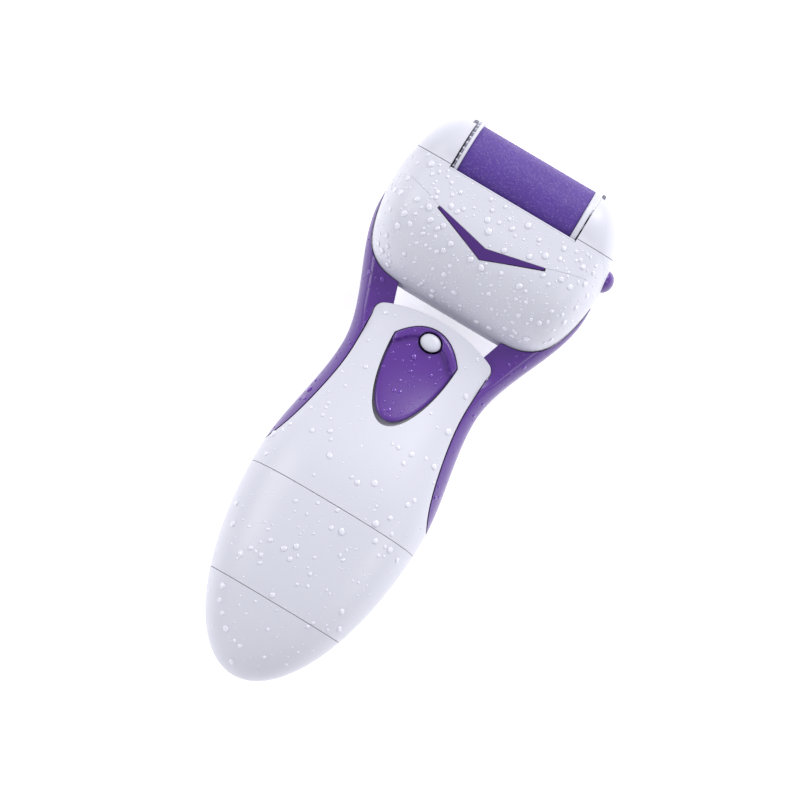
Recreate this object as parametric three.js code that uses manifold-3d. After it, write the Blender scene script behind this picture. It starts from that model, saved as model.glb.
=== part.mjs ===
// Electric callus remover: a battery handle, a purple two-armed yoke and a head
// with a driven abrasive roller. Millimetres, +Z up. It lies on its back: +Y runs
// from the tail to the roller, +X to the right, and z = 0 is the surface it lies on.
import * as THREE from 'three';
import { mergeVertices } from 'three/addons/utils/BufferGeometryUtils.js';
import Module from 'manifold-3d';

const wasm = await Module();
wasm.setup();

// ---------------------------------------------------------------- driving sizes
const GAP = 0.3; // clearance between pieces that meet
const WALL = 2.2; // moulded shell thickness
const FAR = 200; // larger than the object, for cutting blocks

// handle
const TAIL_Y = -86; // tip of the tail
const NECK_Y = 30.2; // neck end of the handle, on the centre line
const BELLY_Y = -26; // where the handle is widest
const BELLY_HALF_WIDTH = 27.1;
const NECK_HALF_WIDTH = 22.4;
const HANDLE_AXIS_Z = 15.5; // height of the handle's widest line
const BELLY_FRONT = 19; // from the axis to the front face at the belly
const NECK_FRONT = 12.3;
const BELLY_BACK = 16.2;
const NECK_BACK = 11.5;
const HANDLE_ROUNDNESS = 2.4; // superellipse exponent of the cross-section
const UPPER_SEAM_Y = -30.9; // plate to middle cover
const LOWER_SEAM_Y = -62.8; // middle cover to tail cap
const STRIP_TIP_Y = -24; // where the purple side strips run out
const STRIP_WIDTH = 3.9;
const STRIP_FLOOR_Z = 9.5; // lower edge of the side strips

// yoke
const YOKE_ROOT_Y = 12;
const YOKE_TIP_Y = 55;
const YOKE_TIP_HALF_WIDTH = 34.8;
const ARM_END_Y = 58; // the arms keep their full width up to here
const YOKE_FRONT = 13; // from the handle's axis height to the yoke's front and back
const YOKE_BACK = 7.5;

// head
const HEAD_HALF_WIDTH = 34.5;
const HEAD_BOTTOM_Y = 34.5;
const HEAD_TOP_Y = 86;
const HEAD_FRONT_Z = 42.6;
const HEAD_MIDDLE = new THREE.Vector2((HEAD_BOTTOM_Y + HEAD_TOP_Y) / 2, 21.3);
const HEAD_PARTING_Z = 17;
const FRONT_ROLL = 24; // radius that rolls the front face down to the neck side
const BACK_ROLL = 18.6;
const CROWN_BACK_ROLL = 14;

// roller and its bay; points in a side view are Vector2(y, z)
const ROLLER_AXIS = new THREE.Vector2(73.6, 31.2);
const ROLLER_RADIUS = 11.2;
const FLANGE_RADIUS = 12.2;
const EAR_RADIUS = 12.4;
const SLEEVE_HALF = 18.5;
const BAY_HALF = 20.6;
const BAY_RADIUS = 12.6;
const BAY_WALL = 1.5;
const LIFT_ANGLE = THREE.MathUtils.degToRad(32); // the way out of the bay, above +Y

// gear train
const GEAR_MODULE = 0.6;
const RING_TEETH = 38;
const SMALL_TEETH = 16;
const BIG_TEETH = 28;
const PINION_TEETH = 12;
const MOTOR_AXIS = new THREE.Vector2(48.6, 19.6);
const MOTOR_RADIUS = 10;
const MOTOR_FLAT = 7.6; // half thickness across the can's flats

// batteries, two AA cells side by side
const CELL_RADIUS = 7.1;
const CELL_LENGTH = 49.4;
const CELL_X = 7.45;
const CELL_Z = 17.2;
const CELL_FOOT_Y = -63.2;

// switch
const SLIDER_TOP = { y: 26.2, half: 10.2 };
const SLIDER_TRAVEL = 1.3;
const LOCK_Y = 23.4;

// ---------------------------------------------------------------- colours
const WHITE = { color: 0xe3e4ee, roughness: 0.36, metalness: 0 };
const PURPLE = { color: 0x5f3a96, roughness: 0.34, metalness: 0 };
const GRIT = { color: 0x5a2f96, roughness: 0.9, metalness: 0 };
const GREY = { color: 0x77757d, roughness: 0.5, metalness: 0 };
const BLACK = { color: 0x1d1d20, roughness: 0.5, metalness: 0 };
const NYLON = { color: 0xe8e4d8, roughness: 0.45, metalness: 0 };
const STEEL = { color: 0xb9bcc2, roughness: 0.3, metalness: 1 };
const GOLD = { color: 0xc9a04a, roughness: 0.35, metalness: 1 };
const BOARD = { color: 0x1f6a3c, roughness: 0.55, metalness: 0 };
const CELL = { color: 0x2b3138, roughness: 0.4, metalness: 0.3 };
const RED = { color: 0xb3262a, roughness: 0.55, metalness: 0 };

// ---------------------------------------------------------------- solids
const group = new THREE.Group();

function add(name, geometry, look) {
  const mesh = new THREE.Mesh(geometry, new THREE.MeshStandardMaterial(look));
  mesh.name = name;
  group.add(mesh);
}

/** A closed geometry as a solid that can be cut and joined. */
function solid(geometry) {
  const bare = geometry.clone();
  bare.deleteAttribute('normal');
  bare.deleteAttribute('uv');
  const merged = mergeVertices(bare, 1e-4);
  return new wasm.Manifold(new wasm.Mesh({
    numProp: 3,
    vertProperties: new Float32Array(merged.attributes.position.array),
    triVerts: new Uint32Array(merged.index.array),
  }));
}

/** A solid back as a geometry. */
function shape(manifold) {
  const mesh = manifold.getMesh();
  const geometry = new THREE.BufferGeometry();
  geometry.setAttribute('position', new THREE.BufferAttribute(mesh.vertProperties, 3));
  geometry.setIndex(new THREE.BufferAttribute(mesh.triVerts, 1));
  geometry.computeVertexNormals();
  return geometry;
}

const join = (first, ...rest) => rest.reduce((sum, piece) => sum.add(piece), first);
const cut = (first, ...rest) => rest.reduce((left, piece) => left.subtract(piece), first);
const common = (first, ...rest) => rest.reduce((left, piece) => left.intersect(piece), first);

/** A skin through closed rings of points; a ring of one point closes an end to a tip. */
function loft(rings) {
  const positions = rings.flat().flatMap((point) => [point.x, point.y, point.z]);
  const faces = [];
  let start = 0;
  for (let k = 0; k + 1 < rings.length; k += 1) {
    const here = rings[k].length;
    const there = rings[k + 1].length;
    const next = start + here;
    const sides = Math.max(here, there);
    for (let i = 0; i < sides; i += 1) {
      const j = (i + 1) % sides;
      const a = start + (here === 1 ? 0 : i);
      const b = start + (here === 1 ? 0 : j);
      const c = next + (there === 1 ? 0 : i);
      const d = next + (there === 1 ? 0 : j);
      if (a !== b) faces.push(a, b, d);
      if (c !== d) faces.push(a, d, c);
    }
    start = next;
  }
  const geometry = new THREE.BufferGeometry();
  geometry.setAttribute('position', new THREE.Float32BufferAttribute(positions, 3));
  geometry.setIndex(facesOut(positions, faces));
  return geometry;
}

/** The same triangles, turned over if they enclose a negative volume. */
function facesOut(positions, faces) {
  const corner = (index) => new THREE.Vector3().fromArray(positions, index * 3);
  let volume = 0;
  for (let i = 0; i < faces.length; i += 3) {
    const [a, b, c] = [faces[i], faces[i + 1], faces[i + 2]].map(corner);
    volume += a.dot(b.cross(c));
  }
  return volume < 0 ? faces.slice().reverse() : faces;
}

/** Ring centre, used as a tip that closes a flat end. */
function middleOf(ring) {
  const centre = new THREE.Vector3();
  ring.forEach((point) => centre.add(point));
  return [centre.divideScalar(ring.length)];
}

/** A block between two corners. */
function block(x0, y0, z0, x1, y1, z1) {
  const geometry = new THREE.BoxGeometry(x1 - x0, y1 - y0, z1 - z0);
  return geometry.translate((x0 + x1) / 2, (y0 + y1) / 2, (z0 + z1) / 2);
}

/** A round bar along x, y or z; u and v are its place in the other two directions, in XYZ order. */
function bar(direction, radius, from, to, u, v, sides = 20) {
  const geometry = new THREE.CylinderGeometry(radius, radius, to - from, sides);
  const middle = (from + to) / 2;
  if (direction === 'x') return geometry.rotateZ(Math.PI / 2).translate(middle, u, v);
  if (direction === 'y') return geometry.translate(u, middle, v);
  return geometry.rotateX(Math.PI / 2).translate(u, v, middle);
}

/** A plan outline of Vector2(x, y), raised from z0 to z1. */
function raised(outline, z0, z1) {
  const geometry = new THREE.ExtrudeGeometry(new THREE.Shape(outline), {
    depth: z1 - z0, bevelEnabled: false,
  });
  return geometry.translate(0, 0, z0);
}

/** A side outline of Vector2(y, z), stretched from x0 to x1. */
function stretched(outline, x0, x1) {
  const geometry = new THREE.ExtrudeGeometry(new THREE.Shape(outline), {
    depth: x1 - x0, bevelEnabled: false,
  });
  const turn = new THREE.Matrix4().makeBasis(
    new THREE.Vector3(0, 1, 0), new THREE.Vector3(0, 0, 1), new THREE.Vector3(1, 0, 0),
  );
  return geometry.applyMatrix4(turn).translate(x0, 0, 0);
}

/** A round wire or tunnel through points. */
function wire(points, radius, steps, sides = 8) {
  const circle = new THREE.Shape().absarc(0, 0, radius, 0, Math.PI * 2);
  return new THREE.ExtrudeGeometry(circle, {
    steps, curveSegments: sides, bevelEnabled: false,
    extrudePath: new THREE.CatmullRomCurve3(points),
  });
}

/** A coil spring along +X, +Y or +Z from a start point. */
function coil(start, direction, length, radius, wireRadius, turns) {
  const along = direction.clone().normalize();
  const side = Math.abs(along.y) > 0.5 ? new THREE.Vector3(1, 0, 0) : new THREE.Vector3(0, 1, 0);
  const other = new THREE.Vector3().crossVectors(along, side);
  const count = turns * 8;
  const points = [];
  for (let i = 0; i <= count; i += 1) {
    const angle = (i / 8) * Math.PI * 2;
    points.push(start.clone()
      .addScaledVector(along, wireRadius + (i / count) * (length - 2 * wireRadius))
      .addScaledVector(side, radius * Math.cos(angle))
      .addScaledVector(other, radius * Math.sin(angle)));
  }
  return wire(points, wireRadius, count, 2);
}

const smooth = (t) => {
  const s = THREE.MathUtils.clamp(t, 0, 1);
  return s * s * (3 - 2 * s);
};
const above = (z) => solid(block(-FAR, -FAR, z, FAR, FAR, FAR));
const below = (z) => solid(block(-FAR, -FAR, -FAR, FAR, FAR, z));
const between = (y0, y1) => solid(block(-FAR, y0, -FAR, FAR, y1, FAR));

// ---------------------------------------------------------------- handle outline
const tailTaper = (y) => Math.sqrt(Math.max(0, 1 - ((y - BELLY_Y) / (TAIL_Y - BELLY_Y)) ** 2));
const neckBlend = (y, neckY) => smooth((neckY - y) / (neckY - BELLY_Y));

function handleHalfWidth(y) {
  if (y < BELLY_Y) return BELLY_HALF_WIDTH * tailTaper(y);
  return NECK_HALF_WIDTH + (BELLY_HALF_WIDTH - NECK_HALF_WIDTH) * neckBlend(y, 12);
}

function handleFront(y) {
  if (y < BELLY_Y) return BELLY_FRONT * tailTaper(y);
  return NECK_FRONT + (BELLY_FRONT - NECK_FRONT) * neckBlend(y, 20);
}

function handleBack(y) {
  if (y < BELLY_Y) return BELLY_BACK * tailTaper(y);
  return NECK_BACK + (BELLY_BACK - NECK_BACK) * neckBlend(y, 24);
}

/** A rounded cross-section about the handle's axis height. */
function ovalRing(y, half, front, back) {
  const sides = 28;
  const power = 2 / HANDLE_ROUNDNESS;
  return Array.from({ length: sides }, (_, i) => {
    const angle = (i / sides) * Math.PI * 2;
    const across = Math.cos(angle);
    const up = Math.sin(angle);
    return new THREE.Vector3(
      half * Math.sign(across) * Math.abs(across) ** power,
      y,
      HANDLE_AXIS_Z + (up > 0 ? front : back) * Math.sign(up) * Math.abs(up) ** power,
    );
  });
}

function handleRing(y, inset) {
  const sizes = [handleHalfWidth(y), handleFront(y), handleBack(y)];
  return ovalRing(y, ...sizes.map((size) => Math.max(size - inset, 0.5)));
}

/** The handle's full outer form, moved in by an inset, between the tail and an end. */
function handleForm(inset, endY) {
  const rings = [[new THREE.Vector3(0, TAIL_Y + inset, HANDLE_AXIS_Z)]];
  const tailSteps = 7;
  for (let i = 1; i <= tailSteps; i += 1) {
    const turn = (i / tailSteps) * (Math.PI / 2);
    const y = BELLY_Y + (TAIL_Y + inset - BELLY_Y) * Math.cos(turn);
    rings.push(handleRing(y, i < 2 ? inset * 0.6 : inset));
  }
  const neckSteps = 8;
  for (let i = 1; i <= neckSteps; i += 1) {
    rings.push(handleRing(BELLY_Y + (endY - BELLY_Y) * (i / neckSteps), inset));
  }
  rings.push(middleOf(rings[rings.length - 1]));
  return solid(loft(rings));
}

// ---------------------------------------------------------------- head outline
/** Side outline of the head, as Vector2(y, z), moved in by an inset. */
function headOutline(inset) {
  const path = new THREE.Path();
  const lowRear = { y: HEAD_BOTTOM_Y + BACK_ROLL, z: BACK_ROLL };
  const lowFront = { y: HEAD_BOTTOM_Y + FRONT_ROLL, z: HEAD_FRONT_Z - FRONT_ROLL };
  const crown = { y: HEAD_TOP_Y - CROWN_BACK_ROLL, z: CROWN_BACK_ROLL };
  path.absarc(lowRear.y, lowRear.z, BACK_ROLL - inset, Math.PI * 1.5, Math.PI, true);
  path.absarc(lowFront.y, lowFront.z, FRONT_ROLL - inset, Math.PI, Math.PI / 2, true);
  path.absarc(ROLLER_AXIS.x, ROLLER_AXIS.y, EAR_RADIUS - inset, Math.PI * 0.6, 0, true);
  path.absarc(crown.y, crown.z, CROWN_BACK_ROLL - inset, 0, -Math.PI / 2, true);
  return path.getPoints(5);
}

/** How much of the full side outline is left at a distance from the middle. */
const headShrink = (x, half) => (1 - (Math.abs(x) / half) ** 7) ** (2 / 3);

/** The head's full outer form, moved in by an inset. */
function headForm(inset) {
  const half = HEAD_HALF_WIDTH - inset;
  const outline = headOutline(inset);
  const steps = 8;
  const places = [];
  for (let i = 1; i < steps; i += 1) {
    places.push(half * Math.sin((i / steps) * (Math.PI / 2)) ** 0.62);
  }
  const stations = [...places.map((x) => -x).reverse(), 0, ...places];
  const tip = (x) => [new THREE.Vector3(x, HEAD_MIDDLE.x, HEAD_MIDDLE.y)];
  const rings = stations.map((x) => outline.map((point) => new THREE.Vector3(
    x,
    HEAD_MIDDLE.x + (point.x - HEAD_MIDDLE.x) * headShrink(x, half),
    HEAD_MIDDLE.y + (point.y - HEAD_MIDDLE.y) * headShrink(x, half),
  )));
  return solid(loft([tip(-half), ...rings, tip(half)]));
}

// ---------------------------------------------------------------- cutting forms
const outerHandle = common(handleForm(0, NECK_Y), above(0));
const innerHandle = common(handleForm(WALL, NECK_Y - WALL), above(WALL));
const shell = cut(outerHandle, innerHandle);
const outerHead = headForm(0);
const innerHead = headForm(WALL);
const clearOfHead = headForm(-GAP);

/** Half width of the white plate at a station along the handle. */
function plateHalf(y) {
  const along = THREE.MathUtils.clamp((13 - y) / (13 - STRIP_TIP_Y), 0, 1);
  const strip = STRIP_WIDTH * (1 - along ** 6);
  return handleHalfWidth(y) - strip + 0.035 * Math.max(0, y - 13);
}

/** Plan outline of the plate from its arched neck end down to the strips' tips. */
function plateOutline(grow) {
  const points = [];
  const neckCorner = { x: plateHalf(25), y: 25.8 };
  for (let i = 0; i <= 10; i += 1) {
    const x = -neckCorner.x + 1.6 + (i / 10) * (2 * neckCorner.x - 3.2);
    points.push(new THREE.Vector2(x, NECK_Y + grow - 0.0098 * x * x));
  }
  for (let i = 0; i <= 12; i += 1) {
    const y = neckCorner.y - 0.7 + (i / 12) * (STRIP_TIP_Y - neckCorner.y + 0.7);
    points.push(new THREE.Vector2(plateHalf(y) + grow, y));
  }
  points.push(new THREE.Vector2(BELLY_HALF_WIDTH + 5, STRIP_TIP_Y));
  points.push(new THREE.Vector2(BELLY_HALF_WIDTH + 5, UPPER_SEAM_Y));
  const right = points.slice(11);
  right.reverse().forEach((point) => points.push(new THREE.Vector2(-point.x, point.y)));
  return points;
}

/** Side outline of the purple strips, whose floor rises to the tip. */
function stripSide(lift) {
  const points = [new THREE.Vector2(NECK_Y + 30, 60), new THREE.Vector2(STRIP_TIP_Y, 60)];
  for (let i = 0; i <= 6; i += 1) {
    const y = STRIP_TIP_Y + (i / 6) * 36;
    const rise = (HANDLE_AXIS_Z - STRIP_FLOOR_Z) * (1 - smooth(i / 6));
    points.push(new THREE.Vector2(y, STRIP_FLOOR_Z + rise + lift));
  }
  points.push(new THREE.Vector2(NECK_Y + 30, STRIP_FLOOR_Z + lift));
  return points;
}

// ---------------------------------------------------------------- yoke arms
/** Ring of the form that both arms are cut from: the handle's own form, widening to the head. */
function yokeRing(y) {
  if (y < YOKE_ROOT_Y) return handleRing(y, 0);
  const along = smooth((y - YOKE_ROOT_Y) / (YOKE_TIP_Y - YOKE_ROOT_Y));
  const half = THREE.MathUtils.lerp(NECK_HALF_WIDTH, YOKE_TIP_HALF_WIDTH, along);
  const front = THREE.MathUtils.lerp(handleFront(YOKE_ROOT_Y), YOKE_FRONT, along);
  const back = THREE.MathUtils.lerp(handleBack(YOKE_ROOT_Y), YOKE_BACK, smooth(along * 2));
  return ovalRing(y, half, front, back);
}

function yokeForm() {
  const steps = 14;
  const startY = STRIP_TIP_Y - 2;
  const rings = Array.from({ length: steps + 1 }, (_, i) => (
    yokeRing(startY + (YOKE_TIP_Y - startY) * (i / steps))
  ));
  rings.push(yokeRing(ARM_END_Y));
  return solid(loft([middleOf(rings[0]), ...rings, middleOf(rings[steps + 1])]));
}

/** Plan outline of the room one arm may take: beside the plate, past the neck, beside the head. */
function armOutline(side) {
  return [
    [4, -40], [60, -40], [60, ARM_END_Y], [32, ARM_END_Y], [24, 46], [17.6, 40], [17.6, 36],
    [15, 28.2], [15, 24], [4, 24],
  ].map(([x, y]) => new THREE.Vector2(side * x, y));
}

const wirePath = (offset) => [
  [9.5, 47.6, 17.5], [15, 44, 17], [21, 39, 16.5], [20.5, 32, 16.2], [17.2, 26.5, 15.8],
  [12, 21, 14.6], [7.5, 14, 13.4],
].map(([x, y, z]) => new THREE.Vector3(x, y, z + offset));
const wireTunnel = solid(wire(wirePath(0), 2.1, 20));

const platePlan = solid(raised(plateOutline(0), HANDLE_AXIS_Z - 12, FAR));
const aroundPlate = solid(raised(plateOutline(GAP), -1, FAR));
const stripZone = solid(stretched(stripSide(0), -FAR, FAR));
const stripRoom = solid(stretched(stripSide(-GAP), -FAR, FAR));
const yoke = cut(common(yokeForm(), stripZone), aroundPlate, clearOfHead);
const makeArm = (side) => common(yoke, solid(raised(armOutline(side), 0, 60)));

// a screw inside the head holds each arm; its place is (x, z)
const ARM_SCREWS = [[-24, 20], [24, 20]];
for (const [x, z] of ARM_SCREWS) {
  const side = Math.sign(x);
  const arm = cut(makeArm(side), solid(bar('y', 1.4, 26, 60, x, z, 12)));
  if (side > 0) add('right_yoke_arm', shape(cut(arm, wireTunnel)), PURPLE);
  else add('left_yoke_arm', shape(arm), PURPLE);
}

// ---------------------------------------------------------------- handle shells
/** Shield outline of the switch slider, grown on all sides and lengthened at the foot. */
function shieldOutline(grow, foot) {
  const { y: topY, half } = SLIDER_TOP;
  const outline = new THREE.Shape();
  outline.moveTo(-half - grow, topY - 5.2);
  outline.quadraticCurveTo(-half * 0.55, topY + 1 + grow, 0, topY + 1 + grow);
  outline.quadraticCurveTo(half * 0.55, topY + 1 + grow, half + grow, topY - 5.2);
  const footY = topY - 29 - foot;
  outline.bezierCurveTo(half + grow, topY - 16, 6 + grow, footY - grow, 0, footY - grow);
  outline.bezierCurveTo(-6 - grow, footY - grow, -half - grow, topY - 16, -half - grow, topY - 5.2);
  return outline.getPoints(7);
}

const switchOpening = solid(raised(shieldOutline(GAP, SLIDER_TRAVEL), 18, FAR));

// each screw stands in a boss under the front pieces
const HANDLE_SCREWS = [[14.6, 0], [-14.6, 0]];
const SCREW_SEAT_Z = 7.2; // the screw heads sit this deep in the back
const bossAt = ([x, y]) => common(
  solid(bar('z', 3, HANDLE_AXIS_Z + 1.5, 40, x, y, 16)), outerHandle,
);

function makePlate() {
  const top = common(shell, above(HANDLE_AXIS_Z + GAP / 2), platePlan);
  const bosses = HANDLE_SCREWS.map(bossAt);
  const holes = HANDLE_SCREWS.map(([x, y]) => solid(bar('z', 1.3, 0, 22, x, y, 12)));
  return cut(join(top, ...bosses), switchOpening, ...holes, wireTunnel);
}
add('neck_front_plate', shape(makePlate()), WHITE);

const coverLength = between(LOWER_SEAM_Y + GAP / 2, UPPER_SEAM_Y - GAP);
add('battery_bay_cover', shape(common(shell, above(HANDLE_AXIS_Z + GAP / 2), coverLength)), WHITE);

function makeBackShell() {
  const length = between(LOWER_SEAM_Y + GAP / 2, FAR);
  const low = common(shell, below(HANDLE_AXIS_Z - GAP / 2), length);
  const armRoom = common(stripRoom, cut(solid(block(-FAR, STRIP_TIP_Y, 0, FAR, FAR, FAR)),
    solid(raised(plateOutline(0), -5, FAR))));
  const bosses = HANDLE_SCREWS.map(([x, y]) => common(
    solid(bar('z', 3.8, 0, HANDLE_AXIS_Z - 2, x, y, 16)), outerHandle,
  ));
  const holes = HANDLE_SCREWS.map(([x, y]) => join(
    solid(bar('z', 1.4, -1, 30, x, y, 12)), solid(bar('z', 2.4, -1, SCREW_SEAT_Z, x, y, 16)),
  ));
  const neckArch = cut(solid(block(-FAR, 0, -FAR, FAR, FAR, FAR)),
    solid(raised(plateOutline(0), -5, FAR)));
  const neckEnd = common(neckArch, solid(block(-FAR, 24, -FAR, FAR, FAR, FAR)));
  return cut(join(low, ...bosses), armRoom, ...holes, neckEnd, wireTunnel);
}
add('handle_back_shell', shape(makeBackShell()), WHITE);

const tailLength = between(-FAR, LOWER_SEAM_Y - GAP / 2);
add('tail_cap', shape(common(shell, tailLength)), WHITE);

// a collar that the tail cap snaps over
function makeCollar() {
  const outside = common(handleForm(WALL + GAP, 0), above(WALL + GAP));
  const inside = common(handleForm(WALL + GAP + 1.2, 0), above(WALL + GAP + 1.2));
  return common(cut(outside, inside), between(LOWER_SEAM_Y - 3, LOWER_SEAM_Y + 5));
}
add('cap_snap_collar', shape(makeCollar()), GREY);

// ---------------------------------------------------------------- switch
const plateTop = (y) => HANDLE_AXIS_Z + handleFront(y);
const SLIDER_BASE_Z = 25.3;
const SLIDER_RISE = 0.9; // above the plate

function makeSlider() {
  const top = common(
    solid(raised(shieldOutline(0, 0), SLIDER_BASE_Z, 40)), handleForm(-SLIDER_RISE, NECK_Y),
  );
  const pocket = solid(bar('z', 3.3, SLIDER_BASE_Z - 1, 40, 0, 0, 18)
    .scale(1.08, 0.9, 1).translate(0, LOCK_Y, 0));
  const stem = solid(block(-1.6, 5, 22.2, 1.6, 9, SLIDER_BASE_Z + 0.5));
  return join(cut(top, pocket), stem);
}
add('switch_slider', shape(makeSlider()), PURPLE);

function makeBezel() {
  const floorTop = SLIDER_BASE_Z - GAP;
  const floor = solid(raised(shieldOutline(2.2, SLIDER_TRAVEL + 1), SLIDER_BASE_Z - 2.4, floorTop));
  const lip = common(floor, handleForm(WALL + GAP, NECK_Y - WALL));
  const rim = common(solid(raised(shieldOutline(0, SLIDER_TRAVEL), 20.8, floorTop)),
    handleForm(1, NECK_Y - WALL));
  const slot = solid(block(-2, 3, 10, 2, 9.5, 40));
  const pocket = solid(bar('z', 3.6, 10, 40, 0, LOCK_Y, 18));
  const bosses = HANDLE_SCREWS.map(([x, y]) => solid(bar('z', 3 + GAP, 0, 40, x, y, 16)));
  return cut(join(lip, rim), slot, pocket, ...bosses);
}
add('switch_bezel', shape(makeBezel()), GREY);

const lockTop = plateTop(LOCK_Y) + 1.1;
add('lock_button', new THREE.SphereGeometry(1, 14, 8).scale(3.1, 2.5, 1.5)
  .translate(0, LOCK_Y, lockTop - 1.5), WHITE);

add('lock_spring', coil(new THREE.Vector3(0, LOCK_Y, SLIDER_BASE_Z - 2.2), new THREE.Vector3(0, 0, 1),
  2.1, 1.5, 0.2, 3), STEEL);

// the electrical slide switch under the slider, its lever and its board
const SWITCH_Z = 20.4;
add('slide_switch_body', shape(cut(
  solid(block(-5, 1.5, SWITCH_Z - 4.6, 5, 11.5, SWITCH_Z)),
  solid(block(-2, 3, SWITCH_Z - 1.6, 2, 10, SWITCH_Z + 1)),
)), BLACK);
add('switch_lever', block(-1.4, 5.2, SWITCH_Z - 1.2, 1.4, 8.8, 21.9), NYLON);
const BOARD_TOP = SWITCH_Z - 4.6 - GAP;
add('circuit_board', block(-9, -7.5, BOARD_TOP - 1.2, 9, 13, BOARD_TOP), BOARD);

// ---------------------------------------------------------------- batteries
for (const side of [-1, 1]) {
  const name = side > 0 ? 'right_cell' : 'left_cell';
  const foot = side > 0 ? CELL_FOOT_Y : CELL_FOOT_Y + 1;
  const can = bar('y', CELL_RADIUS, foot, foot + CELL_LENGTH, side * CELL_X, CELL_Z, 24);
  const nubStart = side > 0 ? foot + CELL_LENGTH - 0.2 : foot - 1;
  const nub = bar('y', 2.6, nubStart, nubStart + 1.2, side * CELL_X, CELL_Z, 12);
  add(name, shape(join(solid(can), solid(nub))), CELL);
}

function makeCradle() {
  const body = solid(block(-15.6, CELL_FOOT_Y + 5.8, 7.2, 15.6, -8, 15));
  const rooms = [-1, 1].map((side) => solid(
    bar('y', CELL_RADIUS + GAP, -FAR, -9.4, side * CELL_X, CELL_Z, 28),
  ));
  const clearOfBosses = HANDLE_SCREWS.map(([x, y]) => solid(bar('z', 3.5, 0, 40, x, y, 16)));
  return common(cut(body, ...rooms, ...clearOfBosses), handleForm(WALL + GAP, 20));
}
add('battery_cradle', shape(makeCradle()), BLACK);

// contacts at the neck end of the cells: a spring for the left cell, a plate for the right one
add('positive_contact', block(CELL_X - 4.5, -12.4, CELL_Z - 1.8, CELL_X + 4.5, -12, CELL_Z + 4.5), GOLD);
add('negative_spring', coil(new THREE.Vector3(-CELL_X, -12.5, CELL_Z), new THREE.Vector3(0, 1, 0),
  2.7, 2.8, 0.35, 2), STEEL);
// the bridge in the tail cap joins the two cells at their tail ends
add('bridge_contact', block(-CELL_X - 4.2, -64.2, CELL_Z - 3.6, CELL_X + 4.2, -63.8, CELL_Z + 3.6), GOLD);

// ---------------------------------------------------------------- head shells
const earPlane = stretched([
  new THREE.Vector2(69.6, 34.6), new THREE.Vector2(69.6 - 40 * 0.23, 74.6),
  new THREE.Vector2(120, 74.6), new THREE.Vector2(120, -FAR * 0.25),
  new THREE.Vector2(69.6 + 74.6 * 0.23, -40),
], -FAR, FAR);
const aboveEarSeam = solid(earPlane);
const aboveEarSeamRoom = solid(earPlane.clone().translate(0, -GAP, 0));

const rollerBar = (radius, x0, x1, sides = 40) => solid(
  bar('x', radius, x0, x1, ROLLER_AXIS.x, ROLLER_AXIS.y, sides),
);
const liftOut = new THREE.Vector2(Math.cos(LIFT_ANGLE), Math.sin(LIFT_ANGLE));
const acrossLift = new THREE.Vector2(-liftOut.y, liftOut.x);
const sidePoint = (along, across) => ROLLER_AXIS.clone()
  .addScaledVector(liftOut, along).addScaledVector(acrossLift, across);
const openHalf = (halfX) => solid(stretched([
  sidePoint(0, -60), sidePoint(60, -60), sidePoint(60, 60), sidePoint(0, 60),
], -halfX, halfX));

/** Head shell with the bay's wall and side walls, before it is parted. */
function makeHeadShell() {
  const bayBody = common(rollerBar(BAY_RADIUS + BAY_WALL, -BAY_HALF - BAY_WALL, BAY_HALF + BAY_WALL),
    outerHead);
  const withBay = join(cut(outerHead, innerHead), bayBody);
  const axleSlots = solid(stretched([
    sidePoint(-1.9, -1.9), sidePoint(60, -1.9), sidePoint(60, 1.9), sidePoint(-1.9, 1.9),
  ], -BAY_HALF - 1.1, BAY_HALF + 1.1));
  return cut(withBay, rollerBar(BAY_RADIUS, -BAY_HALF, BAY_HALF), openHalf(BAY_HALF), axleSlots);
}
const headShell = makeHeadShell();

// ---------------------------------------------------------------- gear train
/** Axis of the two-step gear, in mesh with the roller's ring and the motor's pinion. */
function gearAxis() {
  const ringReach = GEAR_MODULE * (RING_TEETH + SMALL_TEETH) / 2;
  const pinionReach = GEAR_MODULE * (BIG_TEETH + PINION_TEETH) / 2;
  const unit = MOTOR_AXIS.clone().sub(ROLLER_AXIS);
  const apart = unit.length();
  unit.divideScalar(apart);
  const along = (ringReach ** 2 - pinionReach ** 2 + apart ** 2) / (2 * apart);
  const aside = Math.sqrt(ringReach ** 2 - along ** 2);
  return ROLLER_AXIS.clone().addScaledVector(unit, along)
    .addScaledVector(new THREE.Vector2(-unit.y, unit.x), -aside);
}
const GEAR_AXIS = gearAxis();

/** A spur gear along X; its first tooth points in the direction of phase. */
function gear(teeth, x0, x1, centre, phase) {
  const pitch = GEAR_MODULE * teeth / 2;
  const root = pitch - GEAR_MODULE * 1.15;
  const tip = pitch + GEAR_MODULE * 0.75;
  const outline = [];
  const step = (Math.PI * 2) / teeth;
  const corners = [[root, -0.24], [tip, -0.1], [tip, 0.1], [root, 0.24]];
  for (let i = 0; i < teeth; i += 1) {
    for (const [radius, share] of corners) {
      const angle = phase + (i + share) * step;
      outline.push(new THREE.Vector2(
        centre.x + radius * Math.cos(angle), centre.y + radius * Math.sin(angle),
      ));
    }
  }
  return solid(stretched(outline, x0, x1));
}

const directionOf = (from, to) => Math.atan2(to.y - from.y, to.x - from.x);
const toGear = directionOf(ROLLER_AXIS, GEAR_AXIS);
const toMotor = directionOf(GEAR_AXIS, MOTOR_AXIS);
const SMALL_X = [-20.25, -19.6];
const BIG_X = [-25.4, -23.2];
// a tooth of the followed gear points at a space of its follower
const smallPhase = toGear + Math.PI + Math.PI / SMALL_TEETH;
const bigPhase = toMotor;
const pinionPhase = toMotor + Math.PI + Math.PI / PINION_TEETH;
const gearShaft = (radius, x0, x1, sides = 16) => solid(
  bar('x', radius, x0, x1, GEAR_AXIS.x, GEAR_AXIS.y, sides),
);

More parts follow.
